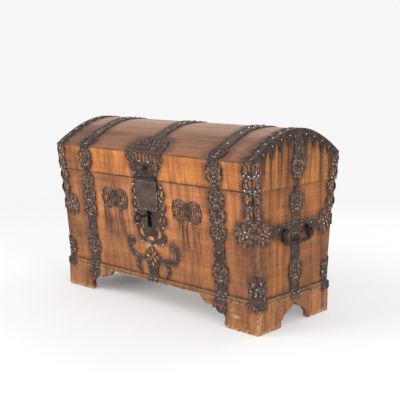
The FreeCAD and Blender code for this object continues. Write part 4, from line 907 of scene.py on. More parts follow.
def makeLockPlate():
    iron = startIron()
    high = chest["seam"] - lockSizes["gap"]
    low, half, lobe = high - lockSizes["height"], lockSizes["width"] / 2, lockSizes["lobe"]
    discs, holes = [], []
    for share, setIn in lockSides:
        for side in (-1, 1):
            u, v = side * (half - lobe - setIn * (1.5 - side / 2)), low + share * lockSizes["height"]
            discs.append((u, v, lobe))
            if share > 0.2:
                holes += leaves(u, v, side, lockLobeLeaves)
            addNail("chest", u + side * 4 * mm, v - 30 * mm, frontMap, 4.4 * mm)
            addBoss(iron, u + side * 2 * mm, v - 10 * mm, frontMap, 5 * mm)
    for side in (-1, 1):
        addNail("chest", side * (half - lobe + 4 * mm), high - 10 * mm, frontMap, 5 * mm)
    for a, b in lockFeet:
        discs.append((a * half, low + b * lockSizes["height"], lobe))
    for side in (-1, 1):
        holes += leaves(0, low, side, lockFootLeaves)
        scroll = smoothLine([(side * a * mm, low + b * mm) for a, b in lockScroll], 5)
        addLine(iron, scroll, 2.2 * mm, frontMap)
        addBoss(iron, side * 45 * mm, low + 118 * mm, frontMap, 5 * mm)
    holes.append(leafOutline(0, low + 32 * mm, 40 * mm, 24 * mm, 0))
    slot = arcPoints(0, keyHeight, lockSizes["keyhole"], range(-40, 221, 20))
    foot, slotEnd = lockSizes["slotWidth"] / 2, keyHeight - lockSizes["slotDrop"]
    slot += [(-foot, slotEnd + 9 * mm), (-foot / 2, slotEnd), (foot / 2, slotEnd), (foot, slotEnd + 9 * mm)]
    core = bar(0, low + lobe * 2, high, half - lobe)
    addPlate(iron, sideOutline(discs, [core], low, high), [slot] + holes, frontMap)
    cut = iron["plates"][-1][1]
    # painted shade: the keyhole is backed by the near-black gloom sheet
    iron["inlays"] = [(cut[0], frontMap, 3)]
    for hole in cut[1:]:
        u, v = hole[0]
        if v < low + 70 * mm or (v > high - 60 * mm and u > -half * 0.7):
            iron["inlays"].append((hole, frontMap, 5))
    finishIron(iron, "lock_plate_ironwork", "chest", ["lock_plate"])


makeLockPlate()

# Cross finial of the base: a pierced diamond with two arms and two tails, and its strap over the moulding

finialSizes = {"gap": 2 * mm, "diamondHalf": 50 * mm, "armReach": 152 * mm, "armWidth": 17 * mm}
finialHeights = {"diamondShare": 0.647, "bottomShare": 0.207}
armLeft = ((0.20, 0.46), (0.45, 0.42), (0.66, 0.44), (0.87, 0.56), (0.99, 0.81), (1.0, 1.02), (0.92, 1.12),
           (0.80, 1.06), (0.82, 0.97))
armRight = ((0.20, 0.42), (0.55, 0.44), (0.90, 0.47), (1.04, 0.60), (1.08, 0.84), (1.02, 1.05), (0.90, 1.12),
            (0.84, 1.04), (0.90, 0.97))
tailLine = ((0.55, 0.44), (0.62, 0.34), (0.68, 0.18), (0.67, 0.02), (0.60, -0.12), (0.56, -0.26))
finialArms = {-1: (armLeft, (0.7, 1.0, 1.15, 1.0, 0.6)), 1: (armRight, (1.1, 1.3, 1.3, 1.25, 0.6))}
finialTail = (tailLine, (0.9, 1.2, 1.0, 0.8, 0.35))
finialLeaves = ((0, 31, 28, 13, 0, 0), (0, -2, 30, 17, 0, 0), (0, -36, 26, 14, -180, 0))
finialSideLeaves = ((17, 16, 24, 13, -35, 0), (30, 0, 24, 14, -80, 0), (17, -19, 24, 12, 35, 0),
                    (30, -22, 22, 10, -20, 0), (20, -46, 18, 8, 15, 0))


def makeBaseOrnament():
    iron = startIron()
    top = chest["seam"] - lockSizes["gap"] - lockSizes["height"] - finialSizes["gap"]
    tall = top - chest["mouldingTop"]
    middle = chest["mouldingTop"] + finialHeights["diamondShare"] * tall
    low = chest["mouldingTop"] + finialHeights["bottomShare"] * tall
    half = finialSizes["diamondHalf"]
    bars = [bar(0, middle, top, half, 4 * mm), bar(0, low, middle, halfStrap, half),
            bar(0, chest["baseTop"], low, halfStrap)]
    holes = leaves(0, middle, 1, finialLeaves)
    for side in (-1, 1):
        holes += leaves(0, middle, side, finialSideLeaves)
        addNail("chest", side * 14 * mm, middle - 9 * mm, frontMap, 3 * mm)
        for shares, widths in (finialArms[side], finialTail):
            line = [(side * a * finialSizes["armReach"], low + b * (top - low)) for a, b in shares]
            addRibbon(iron, line, [finialSizes["armWidth"] * share for share in widths], frontMap)
        for a, b, radius in ((0.85, 0.97, 7 * mm), (0.66, 0.14, 7 * mm)):
            addBoss(iron, side * a * finialSizes["armReach"], low + b * (top - low), frontMap, radius, 2 * mm)
    outline = thinned(denser(sideOutline([(0, top - 8 * mm, 8 * mm)], bars, chest["baseTop"], top), 6 * mm))
    addPlate(iron, outline, holes, frontMap)
    iron["inlays"] = [(hole, frontMap, 5) for hole in iron["plates"][-1][1][::2]]
    addBorders(iron, 0, chest["mouldingTop"] + 6 * mm, low - 4 * mm, frontMap)
    addClasp(iron, 0, frontMap)
    finishIron(iron, "base_ornament_ironwork", "chest", ["base_ornament"])


makeBaseOrnament()

# Two cartouches: scalloped borders round plain scrolls and bosses. Spots: across, down from the seam

cartoucheSizes = {"width": 175 * mm, "height": 105 * mm, "stroke": 10 * mm,
                  "spots": ((-232 * mm, 115 * mm), (241 * mm, 123 * mm))}
cartoucheCurls = (((-15, 0), (-17, 16), (-11, 29), (3, 33), (15, 25), (15, 13), (7, 8), (0, 14), (5, 20)),
                  ((-29, 1), (-30, 17), (-24, 33)), ((28, 3), (29, 18), (22, 34)),
                  ((-3, 0), (-4, 8), (0, 14)))


def makeCartouches():
    iron = startIron()
    halfLobe, halfTall = cartoucheSizes["width"] / 4, cartoucheSizes["height"] / 2 - 4 * mm
    stroke = cartoucheSizes["stroke"]
    for u, drop in cartoucheSizes["spots"]:
        v = chest["seam"] - drop
        for side in (-1, 1):
            middle = u + side * halfLobe
            border = []
            for i in range(56):
                angle = math.tau * i / 56
                across, up = [math.copysign(abs(c) ** 0.7, c) for c in (math.cos(angle), math.sin(angle))]
                swell = 1 + 0.045 * math.cos(8 * angle)
                border.append((middle + side * across * (halfLobe - 2 * mm) * swell,
                               v + up * halfTall * 0.93 * swell))
            addScroll(iron, border, stroke, frontMap, True)
            for flip in (-1, 1):
                for curl in cartoucheCurls:
                    line = [(middle + side * a * mm, v + flip * b * mm) for a, b in curl]
                    addScroll(iron, line, stroke * 0.75, frontMap)
                addBoss(iron, u + side * 1.78 * halfLobe, v + flip * 0.80 * halfTall, frontMap, 5 * mm, mm)
        addBoss(iron, u, v, frontMap, 5 * mm, 2 * mm)
    finishIron(iron, "cartouche_scrolls", "chest", ["cartouches"], stains=False)


makeCartouches()
print("front ironwork made")

# Straps of the ends, with a lobe above and below the cross strap

endSizes = {"place": 4 * mm, "width": 92 * mm, "lobeHeight": 111 * mm, "upperDrop": 72 * mm,
            "lowerRise": 84.5 * mm, "crossDrop": 183 * mm, "crossWidth": 50 * mm,
            "rosetteWidth": 117 * mm, "rosetteHeight": 108 * mm}
crossHeight = chest["seam"] - endSizes["crossDrop"]


def makeEndStrap(face, name):
    iron, u = startIron(), endSizes["place"]
    upperZ, lowerZ = chest["seam"] - endSizes["upperDrop"], chest["mouldingTop"] + endSizes["lowerRise"]
    top, low = chest["seam"] - bandSizes["seamGap"], crossHeight + endSizes["crossWidth"] / 2
    discs, holes = addMedallion(iron, "chest", u, upperZ, endSizes["width"], endSizes["lobeHeight"], face)
    bars = [bar(u, upperZ, top, halfStrap / 2), bar(u, low, upperZ, halfStrap)]
    for side in (-1, 1):
        holes.append(leafOutline(u + side * 14 * mm, low + 15 * mm, 24 * mm, 11 * mm, 90 + side * 20))
    addPlate(iron, sideOutline(discs, bars, low, top), holes, face)
    discs, holes = addMedallion(iron, "chest", u, lowerZ, endSizes["width"], endSizes["lobeHeight"], face)
    high = crossHeight - endSizes["crossWidth"] / 2
    outline = sideOutline(discs, [bar(u, chest["baseTop"], high, halfStrap)], chest["baseTop"], high)
    addPlate(iron, outline, holes, face)
    addBorders(iron, u, lowerZ + endSizes["lobeHeight"] / 2, high, face)
    addClasp(iron, u, face)
    finishIron(iron, name + "_ironwork", "chest", [name])


makeEndStrap(rightMap, "right_end_strap")
makeEndStrap(leftMap, "left_end_strap")


def makeCrossStrap(side, face, name):
    # a strap across the end that wraps both corners, with a rosette on each face beside them
    iron, v = startIron(), crossHeight
    halfRosette, halfCross = endSizes["rosetteWidth"] / 2, endSizes["crossWidth"] / 2
    reach = frontDepth(v) + 3 * mm
    discs, holes = gathered([addRosette(iron, end * (reach - halfRosette), v, face) for end in (-1, 1)])
    outline = sideOutline([(b, a, r) for a, b, r in discs], [bar(v, -reach, reach, halfCross)], -reach, reach)
    addPlate(iron, turned(outline), holes, face)
    far = reach - 2.05 * halfRosette
    for edge in (-1, 1):
        level = v + edge * (halfCross - 2 * mm)
        addLine(iron, [(-far, level), (far, level)], 1.8 * mm, face)
    for place in (-0.42, -0.16, 0.16, 0.42):
        addNail("chest", place * reach, v + 0.25 * halfCross, face, 3.2 * mm)
    corner = chest["halfWidth"] + 3 * mm
    for front in (frontMap, backMap):
        discs, holes = addRosette(iron, side * (corner - halfRosette), v, front)
        low, high = sorted((side * (corner - 2 * halfRosette), side * corner))
        strap = bar(v, *sorted((side * (corner - halfRosette), side * corner)), halfCross)
        outline = sideOutline([(b, a, r) for a, b, r in discs], [strap], low, high)
        addPlate(iron, turned(outline), holes, front)
    finishIron(iron, name + "_ironwork", "chest", [name])


makeCrossStrap(1, rightMap, "right_cross_strap")
makeCrossStrap(-1, leftMap, "left_cross_strap")


# Corner irons: the same drawing on both faces of a corner, measured from the corner's edge

def cornerMaps(sideX, sideY):
    def faceMap(u, v, h):
        p = frontMap(0, v, h)
        y = p.y if sideY < 0 else 2 * chest["middleY"] - p.y
        return Vector((sideX * (endDepth(v) + 3 * mm - u), y, p.z))

    def endMap(u, v, h):
        return Vector((sideX * (endDepth(v) + h), chest["middleY"] + sideY * (frontDepth(v) + 3 * mm - u), v))

    return faceMap, endMap


cornerSizes = {"width": 58 * mm, "rise": 51 * mm, "palmetteHeight": 118 * mm, "palmetteWidth": 54 * mm,
               "sink": 6 * mm, "claspHeight": 34 * mm, "claspWidth": 62 * mm}


def addScallops(iron, body, face, low, high):
    width = cornerSizes["width"]
    count = max(1, round((high - low) / width))
    pitch = (high - low) / count
    radius, discs, holes = pitch / 2, [], []
    for i in range(count):
        v = low + pitch * (i + 0.5)
        discs.append((width - radius, v, radius))
        tilt, swell = smithDice.uniform(-9, 9), smithDice.uniform(0.9, 1.1)
        holes.append(leafOutline(width - radius * 0.76, v + 3 * mm, 42 * swell * mm, 22 * swell * mm,
                                 98 + tilt, -0.20))
        holes.append(leafOutline(15 * mm, v + 8 * mm, 36 * mm, 15 * swell * mm, 76 - tilt, 0.16))
        holes.append(leafOutline(22 * mm, v - 21 * mm, 22 * mm, 11 * mm, -50 + tilt, 0.16))
        holes.append(leafOutline(7 * mm, v - 17 * mm, 20 * mm, 7 * mm, 90))
        addNail(body, 29 * mm, v - 9 * mm, face, 3.4 * mm)
        addNail(body, 10 * mm, v - 31 * mm, face, 3.0 * mm)
        addBoss(iron, 26 * mm, v + 24 * mm, face, 5 * mm)
        scroll = [(2 * mm, v - radius), (24 * mm, v - radius * 0.6), (46 * mm, v - 2 * mm),
                  (26 * mm, v + radius * 0.6), (2 * mm, v + radius)]
        addLine(iron, smoothLine(scroll, 4), 1.9 * mm, face)
        if body == "lid":
            addNail(body, 42 * mm, v - 22 * mm, face, 4.4 * mm)
            addNail(body, 16 * mm, v - 24 * mm, face, 4 * mm)
    core = bar((width - radius) / 2, low, high, (width - radius) / 2)
    addPlate(iron, sideOutline(discs, [core], low, high), holes, face, rimFrom=4 * mm)


palmetteDiscs = ((0.74, 0.66, 0.12), (0.50, 0.80, 0.11), (0.20, 0.90, 0.10), (0.74, 0.38, 0.11))
palmetteHoles = ((0.76, 0.54, 24, 10, 60, -0.1), (0.50, 0.62, 34, 10, 66, -0.1), (0.22, 0.72, 36, 10, 84, 0),
                 (0.74, 0.34, 22, 9, 40, 0.1), (0.12, 0.50, 18, 7, 90, 0), (0.34, 0.40, 20, 8, 62, 0))


def addPalmette(iron, body, face):
    # a fan of leaves over a clasp that wraps the moulding
    low = chest["mouldingTop"] - cornerSizes["sink"]
    width, tall = cornerSizes["palmetteWidth"], cornerSizes["palmetteHeight"]
    discs = [(width * a, low + tall * b, tall * r) for a, b, r in palmetteDiscs]
    bars = [bar(width * a, low, low + tall * b, width * a) for a, b in ((0.38, 0.72), (0.20, 0.92))]
    holes = [leafOutline(width * a, low + tall * b, length * mm, wide * mm, angle, curl)
             for a, b, length, wide, angle, curl in palmetteHoles]
    for a, b, radius in ((0.86, 0.66, 2.8), (0.52, 0.80, 1.9), (0.20, 0.88, 1.9)):
        addLine(iron, [(3 * mm, low + 24 * mm), (width * a, low + tall * b)], radius * mm, face)
    for a, b in ((0.30, 0.24), (0.72, 0.40), (0.40, 0.70), (0.12, 0.52)):
        addNail(body, width * a, low + tall * b, face, 3.6 * mm)
    addPlate(iron, sideOutline(discs, bars, low, low + tall), holes, face, rimFrom=4 * mm)
    clasp, half = cornerSizes["claspWidth"], cornerSizes["claspHeight"] / 2
    middle = low - half
    bars = [bar(clasp * 0.47, middle - half * 0.5, middle + half, clasp * 0.47)]
    discs = [(clasp * a, middle - half * 0.45, half * 0.55) for a in (0.14, 0.44, 0.74)]
    holes = [leafOutline(clasp * a, middle - half * 0.35, 13 * mm, 8 * mm, -90) for a in (0.14, 0.44, 0.74)]
    addPlate(iron, sideOutline(discs, bars, middle - half, middle + half), holes, face, rimFrom=4 * mm)


def makeCornerIrons():
    upper, palmettes, lidIrons, gap = startIron(), startIron(), startIron(), bandSizes["seamGap"]
    for sideX in (-1, 1):
        for sideY in (-1, 1):
            for face in cornerMaps(sideX, sideY):
                addScallops(upper, "chest", face, crossHeight + cornerSizes["rise"], chest["seam"] - gap)
                addPalmette(palmettes, "chest", face)
                addScallops(lidIrons, "lid", face, chest["seam"] + gap, chest["spring"])
    finishIron(upper, "upper_corner_ironwork", "chest", ["upper_corner_irons"])
    finishIron(palmettes, "palmette_ironwork", "chest", ["corner_palmettes"])
    place = cornerMaps(-1, -1)[0](20 * mm, chest["spring"] - 22 * mm, ironSizes["thickness"])
    lidIrons["brass"].append((place, Vector((0, -1, 0)), 5 * mm))
    finishIron(lidIrons, "lid_corner_ironwork", "lid", ["lid_corner_irons"])


makeCornerIrons()
print("end and corner ironwork made")


# Bands over the dome

def arcAt(y):
    # length along the arch from the crest to a distance across it
    if abs(y) <= dome["crestRadius"] * math.sin(dome["crestHalfAngle"]):
        return dome["crestRadius"] * math.asin(y / dome["crestRadius"])
    shift = dome["crestRadius"] - dome["flankRadius"]
    angle = math.asin((abs(y) - shift * math.sin(dome["crestHalfAngle"])) / dome["flankRadius"])
    return math.copysign(dome["crestArc"] + (angle - dome["crestHalfAngle"]) * dome["flankRadius"], y)


domeBandSizes = {"ornament": 82 * mm, "diamondLength": 100 * mm, "diamondHalf": 48 * mm, "ear": 16 * mm,
                 "edgeWidth": 48 * mm, "scallops": 13, "scallopRadius": 11 * mm, "wingTop": 117.5 * mm}
domeEdge = arcAt(chest["springHalfDepth"] + 3 * mm)


def addCrest(iron, u):
    # the pointed widening at the crest, with ears that stand out at its sides
    far, wide, ear = domeBandSizes["diamondLength"], domeBandSizes["diamondHalf"], domeBandSizes["ear"]
    bars = [bar(u, -far, 0, halfStrap, wide), bar(u, 0, far, wide, halfStrap)]
    discs, holes = [], []
    for step in (-1, 0, 1):
        s = step * far / 2
        holes.append(leafOutline(u, s, 30 * mm, 15 * mm, 90 + 90 * step))
        for side in (-1, 1):
            reach = wide * (1 - abs(step) / 4) - 11 * mm
            discs.append((u + side * reach, s, ear))
            holes.append(leafOutline(u + side * reach, s, 20 * mm, 11 * mm, 90 - side * 50, 0.1))
            addBoss(iron, u + side * (reach + 2 * mm), s + far / 4, domeMap, 7 * mm)
            addNail("lid", u + side * reach * 0.55, s - far / 8, domeMap, 3.6 * mm)
        addBoss(iron, u, s + far / 4, domeMap, 9 * mm)
    return discs, bars, holes


def addDomeBand(iron, u, edge):
    discs, bars, holes = addCrest(iron, u)
    bars.append(bar(u, -edge, edge, halfStrap))
    ornament = domeBandSizes["ornament"]
    more, moreHoles = gathered([addMedallion(iron, "lid", u, side * (edge - ornament / 2), bandSizes["width"],
                                             ornament, domeMap, -side) for side in (-1, 1)])
    addPlate(iron, sideOutline(discs + more, bars, -edge, edge), holes + moreHoles, domeMap)
    for side in (-1, 1):
        low, high = sorted((side * (edge - ornament * 1.05), side * domeBandSizes["diamondLength"]))
        addBorders(iron, u, low, high, domeMap, 2.4 * mm)
        for place in (0.2, 0.8):
            addNail("lid", u, low + (high - low) * place, domeMap, 3.4 * mm)


def addRailMedallion(iron, u):
    middle = (chest["seam"] + chest["spring"]) / 2
    discs, holes = addMedallion(iron, "lid", u, middle, bandSizes["width"], 116 * mm, frontMap)
    low = chest["seam"] + bandSizes["seamGap"]
    bars = [bar(u, low, middle, halfStrap / 2), bar(u, middle + 30 * mm, chest["spring"] + 2 * mm, halfStrap)]
    addPlate(iron, sideOutline(discs, bars, low, chest["spring"] + 2 * mm), holes, frontMap)


def makeDomeBands():
    for side, name in ((1, "dome_right_band"), (-1, "dome_left_band")):
        iron = startIron()
        addDomeBand(iron, side * bandPlace, domeEdge)
        addRailMedallion(iron, side * bandPlace)
        finishIron(iron, name + "_ironwork", "lid", [name])


# rows of openings in the wings: set in from the edge, number, length
wingRows = ((20 * mm, 9, 24 * mm), (48 * mm, 8, 24 * mm), (74 * mm, 7, 20 * mm), (96 * mm, 4, 18 * mm))


def makeCentreBand():
    iron = startIron()
    discs, bars, holes = addCrest(iron, 0)
    bars.append(bar(0, -domeEdge, domeEdge, halfStrap))
    wing = domeBandSizes["wingTop"]
    shoulder, neck = 84 * mm, 128 * mm
    sides = ((0, shoulder, wing, wing * 0.875), (shoulder, neck, wing * 0.875, halfStrap))
    for side in (-1, 1):
        for a, b, halfA, halfB in sides:
            ends = sorted(((side * (domeEdge - a), halfA), (side * (domeEdge - b), halfB)))
            bars.append((0, ends[0][0], ends[1][0], ends[0][1], ends[1][1]))
        for row, (setIn, count, length) in enumerate(wingRows):
            for i in range(count):
                place = (i - (count - 1) / 2) * 24 * mm
                turn, swell = 90 + place / mm * 0.35 + smithDice.uniform(-24, 24), smithDice.uniform(0.7, 1.2)
                across, down = place + smithDice.uniform(-4, 4) * mm, setIn + smithDice.uniform(-3, 3) * mm
                holes.append(leafOutline(across, side * (domeEdge - down), length * swell, 12 * mm * swell,
                                         turn, 0.1))
                if row < 3 and i % 2:
                    addBoss(iron, place + 12 * mm, side * (domeEdge - setIn - 10 * mm), domeMap, 4.5 * mm)
        low, high = sorted((side * (domeEdge - neck), side * domeBandSizes["diamondLength"]))
        addBorders(iron, 0, low, high, domeMap, 2.4 * mm)
        addNail("lid", 0, (low + high) / 2, domeMap, 3.4 * mm)
    addPlate(iron, sideOutline(discs, bars, -domeEdge, domeEdge), holes, domeMap)
    finishIron(iron, "dome_centre_band_ironwork", "lid", ["dome_centre_band"])


def makeEdgeBands():
    iron = startIron()
    far, count = chest["lidHalfWidth"] + 3 * mm, domeBandSizes["scallops"]
    radius = domeBandSizes["scallopRadius"]
    inner = far - domeBandSizes["edgeWidth"] + radius
    for side in (-1, 1):
        discs, holes = [], []
        for i in range(count * 2 - 1):
            s = domeEdge * (i + 1 - count) / count
            if i % 2 == 0:
                discs.append((side * inner, s, radius * 1.35))
                holes.append(leafOutline(side * inner, s, 24 * mm, 12 * mm, 90, -side * 0.15))
                addNail("lid", side * (inner + 20 * mm), s, domeMap, 3.2 * mm)
            else:
                holes.append(leafOutline(side * (inner + 12 * mm), s, 24 * mm, 11 * mm, 90, side * 0.15))
                addBoss(iron, side * (inner + 1 * mm), s, domeMap, 4 * mm)
        core = bar(side * (inner + far) / 2, -domeEdge, domeEdge, (far - inner) / 2)
        addPlate(iron, sideOutline(discs, [core], -domeEdge, domeEdge), holes, domeMap)
    finishIron(iron, "dome_edge_ironwork", "lid", ["dome_edge_bands"])


makeDomeBands()
makeCentreBand()
makeEdgeBands()
print("dome ironwork made")

# Lid ends: the strap under the crest and the scalloped edging with its daggers

edgingSizes = {"width": 24 * mm, "pendantLength": 46 * mm, "pendants": 9, "medallionRise": 83 * mm,
               "medallionHeight": 100 * mm}
pendantReach = chest["springHalfDepth"] + 3 * mm - cornerSizes["width"]
pendantPitch = 2 * pendantReach / (edgingSizes["pendants"] - 0.25)
pendantPlaces = [pendantPitch * i for i in (-4, -3, -2, -1, 1, 2, 3, 4)]


def makeLidEndStraps():
    iron = startIron()
    for face in (rightMap, leftMap):
        u, v = endSizes["place"], chest["seam"] + edgingSizes["medallionRise"]
        tall = edgingSizes["medallionHeight"]
        discs, holes = addMedallion(iron, "lid", u, v, endSizes["width"], tall, face)
        low, high = chest["seam"] + bandSizes["seamGap"], chest["crest"] - edgingSizes["width"] - 1 * mm
        bars = [bar(u, v, high, halfStrap), bar(u, low, v, halfStrap / 3)]
        addPlate(iron, sideOutline(discs, bars, low, high), holes, face)
        addBorders(iron, u, v + tall / 2, high - 2 * mm, face)
        addNail("lid", u, v + 80 * mm, face, 3.4 * mm)
    finishIron(iron, "lid_end_ironwork", "lid", ["lid_end_straps"])


def makeArchEdging(face, name):
    iron = startIron()
    width, half = edgingSizes["width"], chest["springHalfDepth"] - 1 * mm
    across = [half * math.sin(math.pi / 2 * i / 30) for i in range(-30, 31)]
    outer = [(y, domeHeight(y) - 0.5 * mm) for y in across]
    lower, holes = [], []
    for i in range(241):
        y = half * (1 - i / 120)
        near = max(0.0, 1 - min(abs(y - place) for place in pendantPlaces) / (pendantPitch * 0.42))
        depth = width * 0.95 + edgingSizes["pendantLength"] * (1 - (1 - near) ** 1.8) ** 1.3
        low = max(domeHeight(y) - depth, chest["spring"] + 1 * mm)
        if low < domeHeight(y) - 2 * mm:
            lower.append((y, low))
    for place in pendantPlaces:
        top = domeHeight(place) - width
        holes.append(leafOutline(place, top - 14 * mm, 28 * mm, 8 * mm, -90))
        addNail("lid", place, top + 4 * mm, face, 3.2 * mm)
        for side in (-1, 1):
            near, far = place + side * 10 * mm, place + side * 22 * mm
            holes += leaves(near, domeHeight(near), side, ((0, -24, 17, 8, 35, 0.15),))
            holes.append(leafOutline(far, domeHeight(far) - 12 * mm, 16 * mm, 8 * mm, 90 - side * 60, 0.1))
            holes += leaves(place, domeHeight(place), side, ((9, -9, 12, 7, -60, 0),))
    addPlate(iron, thinned(outer + lower), holes, face)
    finishIron(iron, name + "_ironwork", "lid", [name], inlay="darkOpening", rim="darkRim")


makeLidEndStraps()
makeArchEdging(rightMap, "right_arch_edging")
makeArchEdging(leftMap, "left_arch_edging")
print("lid end ironwork made")

# The frame that leans with the front: across, up the slope and outward, from the key's place

leanAngle = math.atan(chest["lean"])
leanOut = Vector((0, -math.cos(leanAngle), -math.sin(leanAngle)))
leanUp = Vector((0, -math.sin(leanAngle), math.cos(leanAngle)))
keyPlace = Vector((0, chest["middleY"] - frontDepth(keyHeight), keyHeight))
leanFrame = Matrix.Translation(keyPlace) @ Matrix((Vector((1, 0, 0)), leanUp, leanOut)).transposed().to_4x4()


def turnedShape(profile, steps=28):
    # a profile of (radius, length along Z) spun about Z
    bm = bmesh.new()
    verts = [bm.verts.new((r, 0, z)) for r, z in profile]
    edges = [bm.edges.new(pair) for pair in zip(verts, verts[1:])]
    bmesh.ops.spin(bm, geom=verts + edges, cent=(0, 0, 0), axis=(0, 0, 1), angle=math.tau, steps=steps,
                   use_merge=True)
    bmesh.ops.remove_doubles(bm, verts=bm.verts, dist=0.01 * mm)
    bmesh.ops.recalc_face_normals(bm, faces=bm.faces)
    return bm


def placedInto(target, source, matrix, material=0):
    bmesh.ops.transform(source, matrix=matrix, verts=source.verts)
    joinInto(target, source, material)


def roundedBox(low, high, radius):
    bm = bmesh.new()
    bmesh.ops.create_cube(bm, size=1)
    bmesh.ops.scale(bm, vec=Vector(high) - Vector(low), verts=bm.verts)
    bmesh.ops.translate(bm, vec=(Vector(high) + Vector(low)) / 2, verts=bm.verts)
    bmesh.ops.bevel(bm, geom=bm.edges[:], offset=radius, offset_type="OFFSET", segments=2, profile=0.5,
                    affect="EDGES", material=-1)
    return bm


def barrel(radius, length):
    soft = radius * 0.18
    return turnedShape([(0, 0), (radius - soft, 0), (radius, soft), (radius, length - soft),
                        (radius - soft, length), (0, length)], 20)


alongX = Matrix.Rotation(math.pi / 2, 4, "Y")
haspSizes = {"width": 140 * mm, "drop": 152 * mm, "thickness": 4 * mm, "barrel": 6 * mm, "rise": 7 * mm,
             "knuckle": 27.6 * mm, "knuckleGap": 0.5 * mm, "gap": 0.33 * mm, "round": 14 * mm,
             "clear": 14 * mm}
railOut = 5 * mm * math.cos(leanAngle)
haspBack = railOut + haspSizes["gap"]
haspUp = (chest["seam"] - keyHeight) / math.cos(leanAngle) + haspSizes["rise"]
haspOut = haspBack + haspSizes["barrel"]
haspPitch = haspSizes["knuckle"] + haspSizes["knuckleGap"]
haspFirst = -haspPitch * 2.5 + haspSizes["knuckleGap"] / 2


def leanMap(u, v, h):
    return leanFrame @ Vector((u, v, h))


def addKnuckle(target, index, tongue):
    x0 = haspFirst + index * haspPitch
    place = leanFrame @ Matrix.Translation((x0, haspUp, haspOut)) @ alongX
    placedInto(target, barrel(haspSizes["barrel"], haspSizes["knuckle"]), place)
    low, high = tongue
    placedInto(target, roundedBox((x0, *low), (x0 + haspSizes["knuckle"], *high), 0.8 * mm), leanFrame)


def makeHasp():
    iron, extra = startIron(), bmesh.new()
    top, low = haspUp - haspSizes["barrel"] - haspSizes["gap"], haspUp - haspSizes["drop"]
    half, corner = haspSizes["width"] / 2, haspSizes["round"]
    outline = [(half, top), (half, low + corner)]
    outline += arcPoints(half - corner, low + corner, corner, (-18, -36, -54, -72, -90))
    outline += [(-u, v) for u, v in outline[::-1]]
    addPlate(iron, outline, [], leanMap, haspBack, haspSizes["thickness"])
    front = haspBack + haspSizes["thickness"]
    for setIn, radius in ((7 * mm, 1.2 * mm), (13 * mm, 0.9 * mm)):
        addLine(iron, inset(denser(outline, 12 * mm), setIn), radius, leanMap, front, True)
    for u in (-half + 10 * mm, half - 10 * mm):
        for v in (top - 10 * mm, (top + low) / 2, low + 12 * mm):
            addBoss(iron, u, v, leanMap, 4 * mm, front)
    for index in (1, 3):
        addKnuckle(extra, index, ((top - 1 * mm, haspBack), (haspUp, haspBack + haspSizes["thickness"])))
    finishIron(iron, "hasp_plate_ironwork", "hasp", ["hasp_plate"], extra, plate="wornPlate")


lidOrnamentLeaves = ((96, 40, 40, 12, -8, 0.15), (76, 42, 36, 11, -14, -0.12), (92, 16, 22, 10, 35, 0.15),
                     (54, 46, 30, 9, -26, 0), (34, 34, 24, 8, -42, 0))


def makeLidOrnament():
    iron, extra = startIron(), bmesh.new()
    wide, narrow = 117.5 * mm, 87.5 * mm
    low = keyHeight + (haspUp + haspSizes["barrel"] + haspSizes["gap"]) * math.cos(leanAngle)
    high = chest["spring"] + 1 * mm
    lobe = wide / 4
    discs = []
    for side in (-1, 1):
        for step in (0, 1, 2):
            u = side * (narrow - lobe + (wide - narrow) * step / 2)
            discs.append((u, low + lobe + step * lobe, lobe))
    bars = [bar(0, low, low + lobe / 2, haspSizes["width"] / 2, narrow - 4 * mm),
            bar(0, low + lobe / 2, high, narrow - 4 * mm, wide - 3 * mm)]
    holes = []
    for i in range(-4, 5):
        u, lean = i * 24 * mm, i * 4.5
        tilt, swell = smithDice.uniform(-7, 7), smithDice.uniform(0.85, 1.15)
        holes.append(leafOutline(u, high - 28 * mm - abs(i) * 2 * mm, 50 * mm * swell, 14 * mm * swell,
                                 90 + lean + tilt, 0.12))
        if i:
            addLine(iron, smoothLine([(u - 12 * mm, high - 4 * mm), (u - 9 * mm, high - 24 * mm),
                                      (u * 0.86 - 9 * mm, high - 52 * mm)], 4), 1.7 * mm, frontMap)
    for side in (-1, 1):
        holes += leaves(0, low, side, lidOrnamentLeaves)
        addNail("lid", side * 68 * mm, low + 14 * mm, frontMap, 4 * mm)
        addNail("lid", side * 30 * mm, high - 42 * mm, frontMap, 5 * mm)
        addNail("lid", side * 106 * mm, low + 62 * mm, frontMap, 3.4 * mm)
    iron["brass"].append(nailHeads["lid"].pop(-5))
    addPlate(iron, sideOutline(discs, bars, low, high), holes, frontMap)
    for index in (0, 2, 4):
        tongueTop = haspUp + haspSizes["barrel"] + haspSizes["clear"] / 2
        addKnuckle(extra, index, ((haspUp, railOut), (tongueTop, railOut + 3 * mm)))
    finishIron(iron, "lid_ornament_ironwork", "lid", ["lid_ornament"], extra)


makeHasp()
makeLidOrnament()


def makeKnob():
    rise, neck, ball = 54 * mm, 10 * mm, 11 * mm
    up = (chest["seam"] + rise - keyHeight) / math.cos(leanAngle)
    profile = [(0, 0), (9 * mm, 0), (9.5 * mm, 1.2 * mm), (7 * mm, 2.6 * mm), (6 * mm, 4 * mm),
               (6 * mm, neck - 6 * mm)]
    profile += arcPoints(0, neck, ball, range(-50, 90, 14))
    profile.append((0, neck + ball))
    bm = bmesh.new()
    placedInto(bm, turnedShape(profile), leanFrame @ Matrix.Translation((0, up, railOut + 3 * mm)))
    smoothShade(bm)
    finishPiece(bm, "lid_pull_knob", "lid", ["lid_knob"], [irons["black"]])


